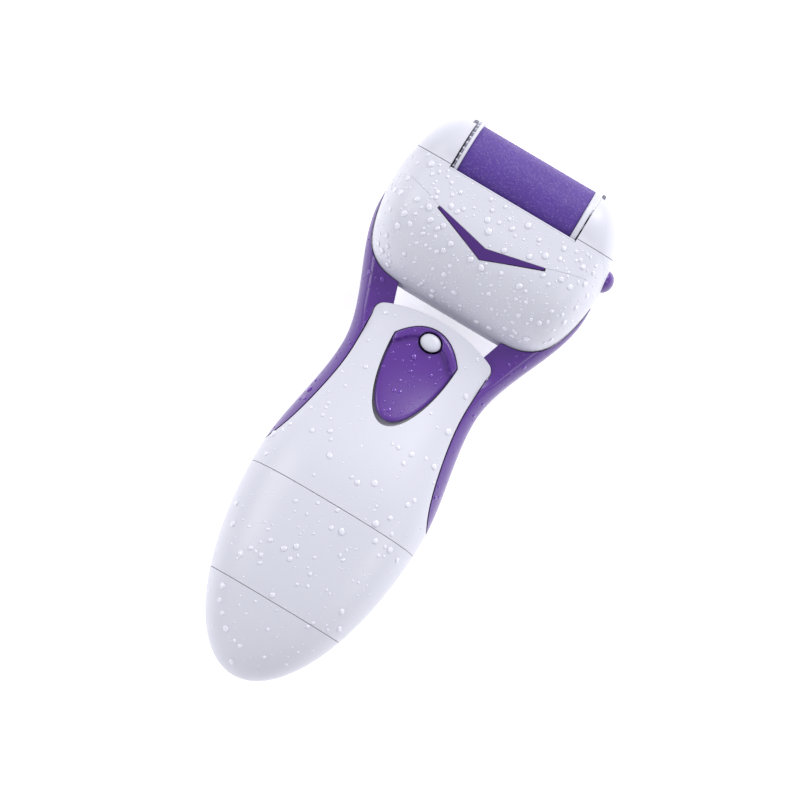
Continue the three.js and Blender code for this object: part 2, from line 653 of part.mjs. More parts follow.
const smallGearReach = GEAR_MODULE * (SMALL_TEETH / 2 + 0.75);
const smallGearRoom = gearShaft(smallGearReach + GAP, -BAY_HALF - 0.25, -19.2, 28);
const gearHubHole = gearShaft(2.5 + GAP, -24, -20, 20);
const BUTTON = { y: 66, z: 21.3 };
const buttonHole = solid(
  bar('x', 1, 24, 60, 0, 0, 24).scale(1, 3.75, 5.3).translate(0, BUTTON.y, BUTTON.z),
);
const headScrewHoles = ARM_SCREWS.map(([x, z]) => solid(bar('y', 1.4, 20, 46, x, z, 12)));
const CHEVRON = [
  [0, 48.7], [17.1, 55.1], [16.9, 55.7], [0, 51.9], [-16.9, 55.7], [-17.1, 55.1],
].map(([x, y]) => new THREE.Vector2(x, y));
const chevronGrown = CHEVRON.map((point, i) => new THREE.Vector2(
  point.x + Math.sign(point.x) * 0.9, point.y + (i === 0 ? -GAP : 0) + (i === 3 ? GAP : 0)
    + (i === 2 || i === 4 ? GAP : 0) - (i === 1 || i === 5 ? GAP : 0),
));
const chevronPocket = cut(solid(raised(chevronGrown, 20, 60)), headForm(1.5));

const besideBay = (side, startX) => solid(side > 0
  ? block(startX, 0, -1, FAR, FAR, FAR) : block(-FAR, 0, -1, -startX, FAR, FAR));
const earRooms = [-1, 1].map((side) => common(aboveEarSeamRoom, besideBay(side, BAY_HALF - GAP)));
const front = common(cut(headShell, ...earRooms), above(HEAD_PARTING_Z + GAP / 2));
add('head_front_housing', shape(cut(
  front, chevronPocket, smallGearRoom, gearHubHole, buttonHole, ...headScrewHoles, wireTunnel,
)), WHITE);

for (const side of [-1, 1]) {
  const beside = besideBay(side, BAY_HALF + 0.02);
  const ear = common(headShell, aboveEarSeam, beside, above(HEAD_PARTING_Z + GAP / 2));
  add(side > 0 ? 'right_ear_cap' : 'left_ear_cap', shape(ear), WHITE);
}
add('head_back_housing', shape(cut(
  common(headShell, below(HEAD_PARTING_Z - GAP / 2)), buttonHole, wireTunnel,
)), WHITE);
const chevronBar = common(solid(raised(CHEVRON, 20, 60)), headForm(-0.05));
add('chevron_inlay', shape(cut(chevronBar, headForm(1.2))), PURPLE);

// ---------------------------------------------------------------- roller
add('abrasive_sleeve', shape(cut(rollerBar(ROLLER_RADIUS, -SLEEVE_HALF, SLEEVE_HALF, 40),
  rollerBar(9.6, -30, 30, 24))), GRIT);
add('roller_core', shape(cut(rollerBar(9.3, -18.2, 18.2, 24), rollerBar(1.9, -30, 30, 16))), NYLON);
const endBore = rollerBar(1.7, -30, 30, 16);
const ringTeeth = gear(RING_TEETH, -20.2, -19.25, ROLLER_AXIS, toGear);
add('roller_drive_end', shape(cut(join(rollerBar(FLANGE_RADIUS, -19.3, -SLEEVE_HALF - 0.05, 40), ringTeeth),
  endBore)), WHITE);
add('roller_idle_end', shape(cut(rollerBar(FLANGE_RADIUS, SLEEVE_HALF + 0.05, 20.2, 40), endBore)), WHITE);
add('roller_axle', bar('x', 1.5, -21.5, 21.5, ROLLER_AXIS.x, ROLLER_AXIS.y, 16), STEEL);

add('two_step_gear', shape(cut(join(
  gear(SMALL_TEETH, SMALL_X[0], SMALL_X[1], GEAR_AXIS, smallPhase),
  gearShaft(2.5, -23.3, SMALL_X[0] + 0.1, 16),
  gear(BIG_TEETH, BIG_X[0], BIG_X[1], GEAR_AXIS, bigPhase),
), gearShaft(1.1, -40, 0, 12))), NYLON);
add('gear_pin', shape(gearShaft(0.9, -28, -19.3, 12)), STEEL);

const motorBar = (radius, x0, x1, sides = 24) => solid(
  bar('x', radius, x0, x1, MOTOR_AXIS.x, MOTOR_AXIS.y, sides),
);
const flats = solid(block(-60, 0, MOTOR_AXIS.y - MOTOR_FLAT, 60, 99, MOTOR_AXIS.y + MOTOR_FLAT));
add('motor_pinion', shape(cut(gear(PINION_TEETH, -25.3, -22.9, MOTOR_AXIS, pinionPhase),
  motorBar(1.1, -60, 60, 12))), GOLD);
add('motor_shaft', shape(motorBar(1, -26, 8, 12)), STEEL);
add('motor_can', shape(cut(common(motorBar(MOTOR_RADIUS, -19.4, 5.4, 28), flats),
  motorBar(1.4, -30, 5.6, 12))), STEEL);
add('motor_end_cap', shape(cut(common(motorBar(MOTOR_RADIUS - 0.3, 5.7, 8.4, 28), flats),
  motorBar(1.4, 0, 8, 12))), BLACK);

const bracket = block(-20.9, 37.2, 4, -19.7, 60, MOTOR_AXIS.y + 9);
add('motor_bracket', shape(cut(common(solid(bracket), headForm(WALL + GAP)), motorBar(3.2, -40, 0, 20),
  gearShaft(6.2, -40, 0, 20), rollerBar(BAY_RADIUS + BAY_WALL + GAP, -40, 40))), STEEL);

// ---------------------------------------------------------------- release button
const buttonStem = bar('x', 1.6, 26.5, 33, BUTTON.y, BUTTON.z, 14);
const buttonDome = new THREE.SphereGeometry(1, 18, 10).rotateZ(Math.PI / 2)
  .scale(3.1, 3.45, 5).translate(33.5, BUTTON.y, BUTTON.z);
add('release_button', shape(cut(join(solid(buttonDome), solid(buttonStem)),
  solid(block(20, 50, 10, 26.4, 80, 40)))), PURPLE);
add('release_latch', shape(join(solid(block(24.6, BUTTON.y - 2.2, 18, 26.1, BUTTON.y + 2.2, 26)),
  solid(block(24.6, BUTTON.y - 1, 24, 26.1, BUTTON.y + 6, 26)))), NYLON);
add('release_spring', coil(new THREE.Vector3(26.6, BUTTON.y, BUTTON.z), new THREE.Vector3(1, 0, 0),
  3.4, 2.5, 0.25, 3), STEEL);

// ---------------------------------------------------------------- screws and leads
function screw(direction, headAt, length, u, v) {
  const tip = headAt + length;
  const headEnd = headAt + Math.sign(length) * 1.3;
  const span = (a, b) => [Math.min(a, b), Math.max(a, b)];
  const head = bar(direction, 2, ...span(headAt, headEnd), u, v, 14);
  const shank = bar(direction, 1, ...span(headAt, tip), u, v, 10);
  return shape(join(solid(head), solid(shank)));
}
HANDLE_SCREWS.forEach(([x, y]) => {
  const body = screw('z', SCREW_SEAT_Z - 1.6, 15.5, x, y);
  add(x > 0 ? 'right_handle_screw' : 'left_handle_screw', body, STEEL);
});
ARM_SCREWS.forEach(([x, z]) => {
  add(x > 0 ? 'right_arm_screw' : 'left_arm_screw', screw('y', 43, -11, x, z), STEEL);
});

[-0.9, 0.9].forEach((offset) => {
  add(offset > 0 ? 'red_lead' : 'black_lead', wire(wirePath(offset), 0.5, 16, 3),
    offset > 0 ? RED : BLACK);
});

export default group;
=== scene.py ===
"""Electric callus remover: moulded shells, roller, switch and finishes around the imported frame.

The device lies on its back. +Y runs from the tail to the roller, +X to the right, +Z to the
front. Sizes in the shape functions are in millimetres and become metres in make_piece().
"""

import math
import random

import bmesh
import bpy
import numpy as np
from bpy.props import (
    FloatProperty,
    FloatVectorProperty,
    IntProperty,
    PointerProperty,
)
from mathutils import Matrix, Vector
from mathutils.bvhtree import BVHTree
from mathutils.geometry import delaunay_2d_cdt


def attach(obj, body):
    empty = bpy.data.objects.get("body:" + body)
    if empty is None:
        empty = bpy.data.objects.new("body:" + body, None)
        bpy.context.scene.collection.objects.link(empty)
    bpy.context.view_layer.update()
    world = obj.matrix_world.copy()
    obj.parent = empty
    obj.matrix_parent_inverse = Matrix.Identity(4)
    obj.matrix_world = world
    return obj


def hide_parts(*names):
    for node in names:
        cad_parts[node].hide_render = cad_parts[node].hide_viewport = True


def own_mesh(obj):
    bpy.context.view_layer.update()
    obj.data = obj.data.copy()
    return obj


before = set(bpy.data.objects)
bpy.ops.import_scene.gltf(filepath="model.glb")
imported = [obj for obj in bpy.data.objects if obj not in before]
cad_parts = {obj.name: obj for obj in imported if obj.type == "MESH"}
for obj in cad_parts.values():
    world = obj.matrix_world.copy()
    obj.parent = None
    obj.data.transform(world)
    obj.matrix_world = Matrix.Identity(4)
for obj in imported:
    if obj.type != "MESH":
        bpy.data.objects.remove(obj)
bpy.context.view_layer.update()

bl_info = {
    "name": "Electric Callus Remover",
    "version": (1, 0, 0),
    "blender": (4, 5, 0),
    "location": "View3D > Sidebar > Callus Remover",
    "description": "Builds a battery callus remover with a driven abrasive roller",
    "category": "Object",
}

MM = 0.001
GAP = 0.3
SEAM = 0.13  # a seam between two shells that sit flush
WALL = 2.2
FAR = 200.0  # past every piece, for cutting forms

# handle
TAIL_Y = -86.0
NECK_Y = 30.2
BELLY_Y = -26.0
BELLY_HALF_WIDTH = 27.1
NECK_HALF_WIDTH = 22.4
HANDLE_AXIS_Z = 15.5
BELLY_FRONT = 19.0
NECK_FRONT = 12.3
BELLY_BACK = 16.2
NECK_BACK = 11.5
ROUNDNESS = 2.4
UPPER_SEAM_Y = -30.9
LOWER_SEAM_Y = -62.8
STRIP_TIP_Y = -24.0
STRIP_WIDTH = 3.9
STRIP_FLOOR_Z = 9.5
NECK_ARCH = 0.0098
PLATE_CORNER = (19.9, 25.6)
PLATE_CORNER_RADIUS = 2.6
SCREW_PLACES = ((14.6, 0.0), (-14.6, 0.0))
SCREW_SEAT_Z = 7.2

# yoke
YOKE_ROOT_Y = 12.0
YOKE_TIP_Y = 55.0
YOKE_TIP_HALF_WIDTH = 34.8
ARM_END_Y = 58.0
YOKE_FRONT = 13.0
YOKE_BACK = 7.5
WEB_LEVEL = 0.55
ARM_OUTLINE = (
    (4, -40), (60, -40), (60, ARM_END_Y), (32, ARM_END_Y), (24, 46), (17.6, 40), (17.6, 36),
    (15, 28.2), (15, 24), (4, 24),
)

# head
HEAD_HALF_WIDTH = 34.5
HEAD_BOTTOM_Y = 34.5
HEAD_TOP_Y = 86.0
HEAD_FRONT_Z = 42.6
HEAD_MIDDLE = np.array((60.25, 21.3))
PARTING_Z = 17.0
FRONT_ROLL = 24.0
BACK_ROLL = 18.6
CROWN_ROLL = 14.0
EAR_SEAM = (69.6, 34.6)
EAR_SLOPE = 0.23
CHEVRON = ((0, 48.7), (17.1, 55.1), (16.9, 55.7), (0, 51.9), (-16.9, 55.7), (-17.1, 55.1))
CREASE = ((17.6, 55.8), (28.9, 59.7))
CREASE_WIDTH = 0.12
CREASE_DEPTH = 0.08

# release spring and motor shaft
SPRING_START = 26.6
SPRING_LENGTH = 3.39
SPRING_RADIUS = 2.5
SPRING_WIRE = 0.25
SPRING_TURNS = 3
MOTOR_AXIS = (48.6, 19.6)

# roller and its bay
LIP = (66.75, 42.32)
LIP_RADIUS = 0.32
END_WALL = 1.6
ROLLER_AXIS = np.array((73.6, 31.2))
SLEEVE_RADIUS = 11.2
SLEEVE_BORE = 9.6
SLEEVE_HALF = 18.5
FLANGE_RADIUS = 12.2
FLANGE_BORE = 1.7
EAR_RADIUS = 12.4
BAY_HALF = 20.6
BAY_RADIUS = 12.6
BAY_WALL = 1.5
AXLE_ROOM = 1.9
LIFT_ANGLE = math.radians(32)
RING_TEETH = 38
GEAR_MODULE = 0.6
GEAR_AXIS = np.array((57.908457, 27.17315))

# switch and release button
SLIDER_TOP_Y = 26.2
SLIDER_HALF = 10.2
SLIDER_LENGTH = 29.0
SLIDER_TRAVEL = 1.3
SLIDER_SHOULDER = 5.2
SLIDER_RISE = 0.8
SLIDER_UNDERSIDE = 1.5
LOCK_Y = 23.4
LOCK_HALF_HEIGHT = 1.5
LOCK_LIFT = -0.4
LOCK_ROOM = 3.6
BUTTON_Y = 66.0
BUTTON_Z = 21.3

RING_SIDES = 168


# ------------------------------------------------------------------ solids
def smooth(t):
    """Eases from 0 to 1."""
    t = np.clip(t, 0.0, 1.0)
    return t * t * (3 - 2 * t)


def loft(rings):
    """A closed solid through rings of points; a ring of one point is a tip, others are capped."""
    rings = [np.atleast_2d(np.asarray(ring, float)) for ring in rings]
    points = np.vstack(rings)
    faces = []
    start = 0
    for here, there in zip(rings, rings[1:]):
        n, m = len(here), len(there)
        after = start + n
        count = max(n, m)
        for i in range(count):
            j = (i + 1) % count
            if n == 1:
                faces.append((start, after + j, after + i))
            elif m == 1:
                faces.append((start + i, start + j, after))
            else:
                faces.append((start + i, start + j, after + j, after + i))
        start = after
    if len(rings[0]) > 1:
        faces.append(tuple(range(len(rings[0])))[::-1])
    if len(rings[-1]) > 1:
        faces.append(tuple(range(start, start + len(rings[-1]))))
    return face_out(points, faces)


def face_out(points, faces):
    """The same solid with its faces turned outwards."""
    volume = 0.0
    for face in faces:
        first = points[face[0]]
        for second, third in zip(face[1:], face[2:]):
            volume += float(np.dot(first, np.cross(points[second], points[third])))
    return points, [tuple(face[::-1]) for face in faces] if volume < 0 else faces


def raised(outline, low, high):
    """A plan outline of (x, y) between two heights."""
    flat = np.asarray(outline, float)
    return loft([np.column_stack((flat, np.full(len(flat), z))) for z in (low, high)])


def stretched(outline, left, right):
    """A side outline of (y, z) between two places along X."""
    flat = np.asarray(outline, float)
    return loft([np.column_stack((np.full(len(flat), x), flat)) for x in (left, right)])


def block(x0, y0, z0, x1, y1, z1):
    """A box between two corners, as a cutting form."""
    return raised(((x0, y0), (x1, y0), (x1, y1), (x0, y1)), z0, z1)


def circle(radius, sides, wide=1.0, tall=1.0):
    """Points round a circle or an ellipse."""
    turn = np.arange(sides) / sides * 2 * math.pi
    return np.column_stack((radius * wide * np.cos(turn), radius * tall * np.sin(turn)))


def bar_x(radius, left, right, centre, sides=64, wide=1.0, tall=1.0):
    """A round bar along X about a centre (y, z)."""
    return stretched(circle(radius, sides, wide, tall) + centre, left, right)


def bar_z(radius, low, high, centre, sides=40, wide=1.0, tall=1.0):
    """A round bar along Z about a centre (x, y)."""
    return raised(circle(radius, sides, wide, tall) + centre, low, high)


def revolved(profile, centre, sides):
    """A ring about X: a closed profile of (x, radius) turned round a centre (y, z)."""
    points = []
    for turn in np.arange(sides) / sides * 2 * math.pi:
        for x, radius in profile:
            points.append((
                x, centre[0] + radius * math.cos(turn), centre[1] + radius * math.sin(turn),
            ))
    count = len(profile)
    faces = []
    for i in range(sides):
        for k in range(count):
            here, there = i * count, (i + 1) % sides * count
            up = (k + 1) % count
            faces.append((here + k, there + k, there + up, here + up))
    return face_out(np.array(points), faces)


def work_object(solid):
    """A solid in a scratch object."""
    mesh = bpy.data.meshes.new("work")
    mesh.from_pydata(solid[0].tolist(), [], solid[1])
    scratch = bpy.data.objects.new("work", mesh)
    bpy.context.scene.collection.objects.link(scratch)
    return scratch


def carve(base, *steps):
    """Cuts, joins or keeps what is common, step by step; each step is (way, solid)."""
    main = work_object(base)
    scratch = [main]
    for way, tool in steps:
        helper = work_object(tool)
        scratch.append(helper)
        modifier = main.modifiers.new(way, "BOOLEAN")
        modifier.operation = way
        modifier.solver = "MANIFOLD"
        modifier.object = helper
    shaped = main.evaluated_get(bpy.context.evaluated_depsgraph_get()).to_mesh()
    points = np.empty(len(shaped.vertices) * 3)
    shaped.vertices.foreach_get("co", points)
    faces = [tuple(polygon.vertices) for polygon in shaped.polygons]
    for helper in scratch:
        mesh = helper.data
        bpy.data.objects.remove(helper)
        bpy.data.meshes.remove(mesh)
    if not faces:
        raise RuntimeError("a cut left nothing")
    return points.reshape(-1, 3), faces


def cut(base, *tools):
    """The base without the tools."""
    return carve(base, *(("DIFFERENCE", tool) for tool in tools))


def common(base, *tools):
    """What the base and the tools share."""
    return carve(base, *(("INTERSECT", tool) for tool in tools))


def join(base, *tools):
    """The base and the tools as one solid."""
    whole = carve(base, *(("UNION", tool) for tool in tools))
    if len(whole[1]) == len(base[1]):
        raise RuntimeError("a join changed nothing")
    return whole


def above(z):
    """Everything over a height."""
    return block(-FAR, -FAR, z, FAR, FAR, FAR)


def below(z):
    """Everything under a height."""
    return block(-FAR, -FAR, -FAR, FAR, FAR, z)


def between(y0, y1):
    """Everything between two places along the device."""
    return block(-FAR, y0, -FAR, FAR, y1, FAR)


def make_piece(name, solid, body, slot, node, look="", sharp=30.0):
    """Turns a solid into a shown piece that rides on a body and stands for a CAD node."""
    mesh = bpy.data.meshes.new(name)
    mesh.from_pydata((solid[0] * MM).tolist(), [], solid[1])
    edit = bmesh.new()
    edit.from_mesh(mesh)
    bmesh.ops.remove_doubles(edit, verts=edit.verts, dist=2e-6)
    bmesh.ops.dissolve_degenerate(edit, edges=edit.edges, dist=2e-6)
    loose = [vert for vert in edit.verts if not vert.link_faces]
    bmesh.ops.delete(edit, geom=loose, context="VERTS")
    edit.to_mesh(mesh)
    edit.free()
    mesh.materials.append(FINISHES[look or slot])
    mesh.polygons.foreach_set("use_smooth", [True] * len(mesh.polygons))
    mesh.set_sharp_from_angle(angle=math.radians(sharp))
    piece = bpy.data.objects.new(name, mesh)
    bpy.context.scene.collection.objects.link(piece)
    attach(piece, body)
    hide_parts(node)
    return piece


# ------------------------------------------------------------------ handle form
def tail_taper(y):
    """Share of the belly's size that is left towards the tail."""
    return math.sqrt(max(0.0, 1 - ((y - BELLY_Y) / (TAIL_Y - BELLY_Y)) ** 2))


def handle_size(y, belly, neck, neck_y):
    """A size that runs from the neck to the belly and tapers to the tail."""
    if y < BELLY_Y:
        return belly * tail_taper(y)
    return neck + (belly - neck) * float(smooth((neck_y - y) / (neck_y - BELLY_Y)))


def half_width(y):
    """Half width of the handle."""
    return handle_size(y, BELLY_HALF_WIDTH, NECK_HALF_WIDTH, 12.0)


def front_height(y):
    """From the handle's axis to its front face."""
    return handle_size(y, BELLY_FRONT, NECK_FRONT, 20.0)


def back_height(y):
    """From the handle's axis to its back."""
    return handle_size(y, BELLY_BACK, NECK_BACK, 24.0)


def front_z(x, y):
    """Height of the handle's front face over a point of the plan."""
    share = min(abs(x) / half_width(y), 1.0)
    return HANDLE_AXIS_Z + front_height(y) * (1 - share**ROUNDNESS) ** (1 / ROUNDNESS)


def oval_ring(y, half, front, back, level=1.0, sides=RING_SIDES):
    """An evenly spaced rounded cross-section; level flattens its front part way up."""
    turn = np.linspace(0, 2 * math.pi, 1441)
    power = 2 / ROUNDNESS
    across = np.sign(np.cos(turn)) * np.abs(np.cos(turn)) ** power
    up = np.sign(np.sin(turn)) * np.abs(np.sin(turn)) ** power
    if level < 1:
        soft = 0.045
        over = up - level
        up = level + 0.5 * (over - np.sqrt(over * over + soft * soft))
    x = half * across
    z = HANDLE_AXIS_Z + np.where(up > 0, front, back) * up
    length = np.concatenate(([0], np.cumsum(np.hypot(np.diff(x), np.diff(z)))))
    even = np.arange(sides) / sides * length[-1]
    return np.column_stack((
        np.interp(even, length, x), np.full(sides, y), np.interp(even, length, z),
    ))


def handle_ring(y, inset):
    """The handle's cross-section, moved in by an inset."""
    sizes = (half_width(y), front_height(y), back_height(y))
    return oval_ring(y, *(max(size - inset, 0.5) for size in sizes))


def handle_form(inset, end_y=NECK_Y, rows=64):
    """The handle's full outer form."""
    rings = [(0, TAIL_Y + inset, HANDLE_AXIS_Z)]
    for i in range(1, rows + 1):
        turn = i / rows * math.pi / 2
        y = BELLY_Y + (TAIL_Y + inset - BELLY_Y) * math.cos(turn)
        rings.append(handle_ring(y, inset * (0.6 if i < rows / 7 else 1.0)))
    for i in range(1, rows + 1):
        rings.append(handle_ring(BELLY_Y + (end_y - BELLY_Y) * i / rows, inset))
    return loft(rings)


def plate_half(y):
    """Half width of the white plate between the purple strips."""
    along = min(max((13 - y) / (13 - STRIP_TIP_Y), 0.0), 1.0)
    return half_width(y) - STRIP_WIDTH * (1 - along**6) + 0.035 * max(0.0, y - 13)


def plate_outline(grow):
    """Plan outline of the plate, from its arched neck end to its lower seam."""
    corner_x, corner_y = PLATE_CORNER
    radius = PLATE_CORNER_RADIUS
    arch_end = corner_x - radius
    arch = [(x, NECK_Y + grow - NECK_ARCH * x * x) for x in np.linspace(0, arch_end, 24)]
    bend_from = np.array(arch[-1])
    bend_by = np.array((corner_x + grow, NECK_Y + grow - NECK_ARCH * corner_x**2))
    bend_to = np.array((plate_half(corner_y - radius) + grow, corner_y - radius))
    bend = [
        tuple((1 - t) ** 2 * bend_from + 2 * t * (1 - t) * bend_by + t * t * bend_to)
        for t in np.linspace(0, 1, 14)[1:]
    ]
    side = [
        (plate_half(y) + grow, y)
        for y in np.linspace(corner_y - radius - 0.8, STRIP_TIP_Y, 70)
    ]
    right = arch + bend + side + [
        (BELLY_HALF_WIDTH + 5, STRIP_TIP_Y), (BELLY_HALF_WIDTH + 5, UPPER_SEAM_Y),
    ]
    return right + [(-x, y) for x, y in right[:0:-1]]


def strip_side(lift):
    """Side outline of the room above the strips' floor, which rises to the tip."""
    points = [(NECK_Y + 30, 60), (STRIP_TIP_Y, 60)]
    for share in np.linspace(0, 1, 25):
        rise = (HANDLE_AXIS_Z - STRIP_FLOOR_Z) * (1 - float(smooth(share)))
        points.append((STRIP_TIP_Y + share * 36, STRIP_FLOOR_Z + rise + lift))
    points.append((NECK_Y + 30, STRIP_FLOOR_Z + lift))
    return points


def yoke_ring(y):
    """Cross-section of the form that both arms are cut from."""
    level = 1 - (1 - WEB_LEVEL) * float(smooth((y - 6) / 20))
    if y < YOKE_ROOT_Y:
        return oval_ring(y, half_width(y), front_height(y), back_height(y), level)
    along = float(smooth((y - YOKE_ROOT_Y) / (YOKE_TIP_Y - YOKE_ROOT_Y)))
    ease = float(smooth(along * 2))
    return oval_ring(
        y,
        NECK_HALF_WIDTH + (YOKE_TIP_HALF_WIDTH - NECK_HALF_WIDTH) * along,
        front_height(YOKE_ROOT_Y) + (YOKE_FRONT - front_height(YOKE_ROOT_Y)) * along,
        back_height(YOKE_ROOT_Y) + (YOKE_BACK - back_height(YOKE_ROOT_Y)) * ease,
        level,
    )


# ------------------------------------------------------------------ head form
def arc(centre, radius, start, end, steps):
    """Points (y, z) along an arc; angles in degrees."""
    turn = np.radians(np.linspace(start, end, steps))
    return np.column_stack((centre[0] + radius * np.cos(turn), centre[1] + radius * np.sin(turn)))


def head_outline(inset):
    """Side outline of the head as (y, z), evenly spaced."""
    path = np.vstack((
        arc((HEAD_BOTTOM_Y + BACK_ROLL, BACK_ROLL), BACK_ROLL - inset, 270, 180, 60),
        arc((HEAD_BOTTOM_Y + FRONT_ROLL, HEAD_FRONT_Z - FRONT_ROLL), FRONT_ROLL - inset, 180, 90,
            60),
        arc(ROLLER_AXIS, EAR_RADIUS - inset, 108, 0, 60),
        arc((HEAD_TOP_Y - CROWN_ROLL, CROWN_ROLL), CROWN_ROLL - inset, 0, -90, 60),
    ))
    path = np.vstack((path, path[:1]))
    length = np.concatenate(([0], np.cumsum(np.hypot(*np.diff(path, axis=0).T))))
    even = np.arange(RING_SIDES) / RING_SIDES * length[-1]
    return np.column_stack([np.interp(even, length, path[:, axis]) for axis in (0, 1)])


def head_share(x, half):
    """How much of the side outline is left at a distance from the middle."""
    return (1 - min(abs(x) / half, 1.0) ** 7) ** (2 / 3)


def head_form(inset, steps=44):
    """The head's full outer form, moved in by an inset."""
    half = HEAD_HALF_WIDTH - inset
    outline = head_outline(inset)
    places = [half * math.sin(i / steps * math.pi / 2) ** 0.62 for i in range(1, steps)]
    rings = [(-half, *HEAD_MIDDLE)]
    for x in [-x for x in reversed(places)] + [0.0] + places:
        scaled = HEAD_MIDDLE + (outline - HEAD_MIDDLE) * head_share(x, half)
        rings.append(np.column_stack((np.full(len(scaled), x), scaled)))
    rings.append((half, *HEAD_MIDDLE))
    return loft(rings)


def side_point(along, across):
    """A point (y, z) along and across the roller's way out."""
    out = np.array((math.cos(LIFT_ANGLE), math.sin(LIFT_ANGLE)))
    return ROLLER_AXIS + along * out + across * np.array((-out[1], out[0]))


def side_slab(along0, across0, along1, across1, half):
    """A slab square to the roller's way out, as wide as twice a half."""
    corners = ((along0, across0), (along1, across0), (along1, across1), (along0, across1))
    return stretched([side_point(*corner) for corner in corners], -half, half)


def ear_zone(lower):
    """Everything above the ear seam; lower moves the seam down by that much."""
    y, z = EAR_SEAM[0] - lower, EAR_SEAM[1]
    return stretched((
        (y, z), (y - 40 * EAR_SLOPE, z + 40), (120, z + 40), (120, -50),
        (y + 74.6 * EAR_SLOPE, -40),
    ), -FAR, FAR)


# ------------------------------------------------------------------ finishes
def linear(red, green, blue):
    """A colour of 0 to 255 as the shader's linear values."""
    parts = [value / 255 for value in (red, green, blue)]
    return tuple(
        part / 12.92 if part <= 0.04045 else ((part + 0.055) / 1.055) ** 2.4 for part in parts
    ) + (1.0,)


class Value:
    """A shader value; sums, differences, products and powers of values add Math nodes."""

    def __init__(self, finish, socket):
        self.finish = finish
        self.socket = socket

    def maths(self, operation, *terms, clamped=False):
        """One Math node on these terms."""
        settings = {"operation": operation, "use_clamp": clamped}
        return self.finish.node("ShaderNodeMath", settings, dict(enumerate(terms)))

    def __add__(self, other):
        return self.maths("ADD", self, other)

    def __radd__(self, other):
        return self.maths("ADD", other, self)

    def __sub__(self, other):
        return self.maths("SUBTRACT", self, other)

    def __rsub__(self, other):
        return self.maths("SUBTRACT", other, self)

    def __mul__(self, other):
        return self.maths("MULTIPLY", self, other)

    def __rmul__(self, other):
        return self.maths("MULTIPLY", other, self)

    def __pow__(self, other):
        return self.maths("POWER", self, other)

    def clamp(self):
        """The value kept between 0 and 1."""
        return self.maths("ADD", self, 0.0, clamped=True)

    def over(self, level, width):
        """0 below a level and 1 above it, over a width."""
        return ((self - (level - width / 2)) * (1 / width)).clamp()


class Finish:
    """A material being made out of nodes."""

    def __init__(self, name):
        self.material = bpy.data.materials.new(name)
        self.material.use_nodes = True
        self.tree = self.material.node_tree
        self.shader = self.tree.nodes["Principled BSDF"]
        self.place = self.node("ShaderNodeTexCoord", output="Object")

    def node(self, kind, settings=None, inputs=None, output=0):
        """A node of a type, with its settings, then its values and links."""
        made = self.tree.nodes.new(kind)
        for name, setting in (settings or {}).items():
            if name == "stops":
                ramp = made.color_ramp
                while len(ramp.elements) < len(setting):
                    ramp.elements.new(0.5)
                for element, (position, colour) in zip(ramp.elements, setting):
                    element.position = position
                    element.color = colour
            else:
                setattr(made, name, setting)
        self.set_inputs(made, inputs or {})
        return Value(self, made.outputs[output])

    def set_inputs(self, made, inputs):
        """Sets or links a node's sockets."""
        for name, value in inputs.items():
            socket = made.inputs[name]
            if isinstance(value, Value):
                self.tree.links.new(value.socket, socket)
            else:
                socket.default_value = value

    def mix(self, share, first, second):
        """A colour between two colours."""
        return self.node(
            "ShaderNodeMix", {"data_type": "RGBA"}, {0: share, 6: first, 7: second}, output=2
        )

    def noise(self, size_mm, detail=2.0, roughness=0.5):
        """Soft noise with features of about a size."""
        return self.node("ShaderNodeTexNoise", {}, {
            "Vector": self.place, "Scale": 1 / (size_mm * MM), "Detail": detail,
            "Roughness": roughness,
        })

    def bump(self, height, depth_mm, strength=1.0, normal=None):
        """A bump of a depth."""
        inputs = {"Height": height, "Distance": depth_mm * MM, "Strength": strength}
        if normal:
            inputs["Normal"] = normal
        return self.node("ShaderNodeBump", {}, inputs)

    def done(self, **inputs):
        """Sets the shader's sockets and gives the material."""
        self.set_inputs(self.shader, {name.replace("_", " "): v for name, v in inputs.items()})
        return self.material


def moulded(name, colour, shade, roughness, edge_mm=0.3, coat=0.0, peel_mm=0.006):
    """Moulded plastic: faint clouding, fine skin texture and softened edges."""
    finish = Finish(name)
    cloud = finish.noise(26, 3)
    grain = finish.noise(0.45, 3)
    smear = finish.noise(7, 4)
    edge = finish.node("ShaderNodeBevel", {"samples": 4}, {"Radius": edge_mm * MM})
    return finish.done(
        Base_Color=finish.mix(cloud.over(0.5, 0.5) * 0.8 + grain * 0.2, colour, shade),
        Roughness=roughness + (smear - 0.5) * 0.16 + (grain - 0.5) * 0.06,
        Normal=finish.bump(grain + smear * 2, peel_mm, normal=edge),
        Coat_Weight=coat,
        Coat_Roughness=0.12,
        IOR=1.47,
    )


def gritty(name, colour, shade, painted_glint):
    """Bonded abrasive: fine grains, pits darkened with painted shade and a few cells painted paler
    as glints.
    """
    finish = Finish(name)
    grains = finish.node("ShaderNodeTexVoronoi", {"feature": "F1"}, {
        "Vector": finish.place, "Scale": 1 / (0.3 * MM),
    }, output="Distance")
    tint = finish.node("ShaderNodeTexVoronoi", {"feature": "F1"}, {
        "Vector": finish.place, "Scale": 1 / (0.3 * MM),
    }, output="Color")
    split = finish.node("ShaderNodeSeparateColor", {}, {"Color": tint})
    cloud = finish.noise(9, 3)
    # darker where the cloud's random tone says, and darker between the grains where the bump is
    # lowest: painted shade in the pits
    base = finish.mix((cloud * 0.4 + grains * 0.5).clamp(), colour, shade)
    return finish.done(
        # a few cells mixed towards a pale colour: painted glint
        Base_Color=finish.mix(split.over(0.9, 0.2) * 0.16, base, painted_glint),
        Roughness=0.62 - split * 0.12,
        Normal=finish.bump(1 - grains, 0.07, 0.7),
        Sheen_Weight=0.35,
        Sheen_Roughness=0.45,
        Sheen_Tint=(0.86, 0.7, 1.0, 1.0),
    )


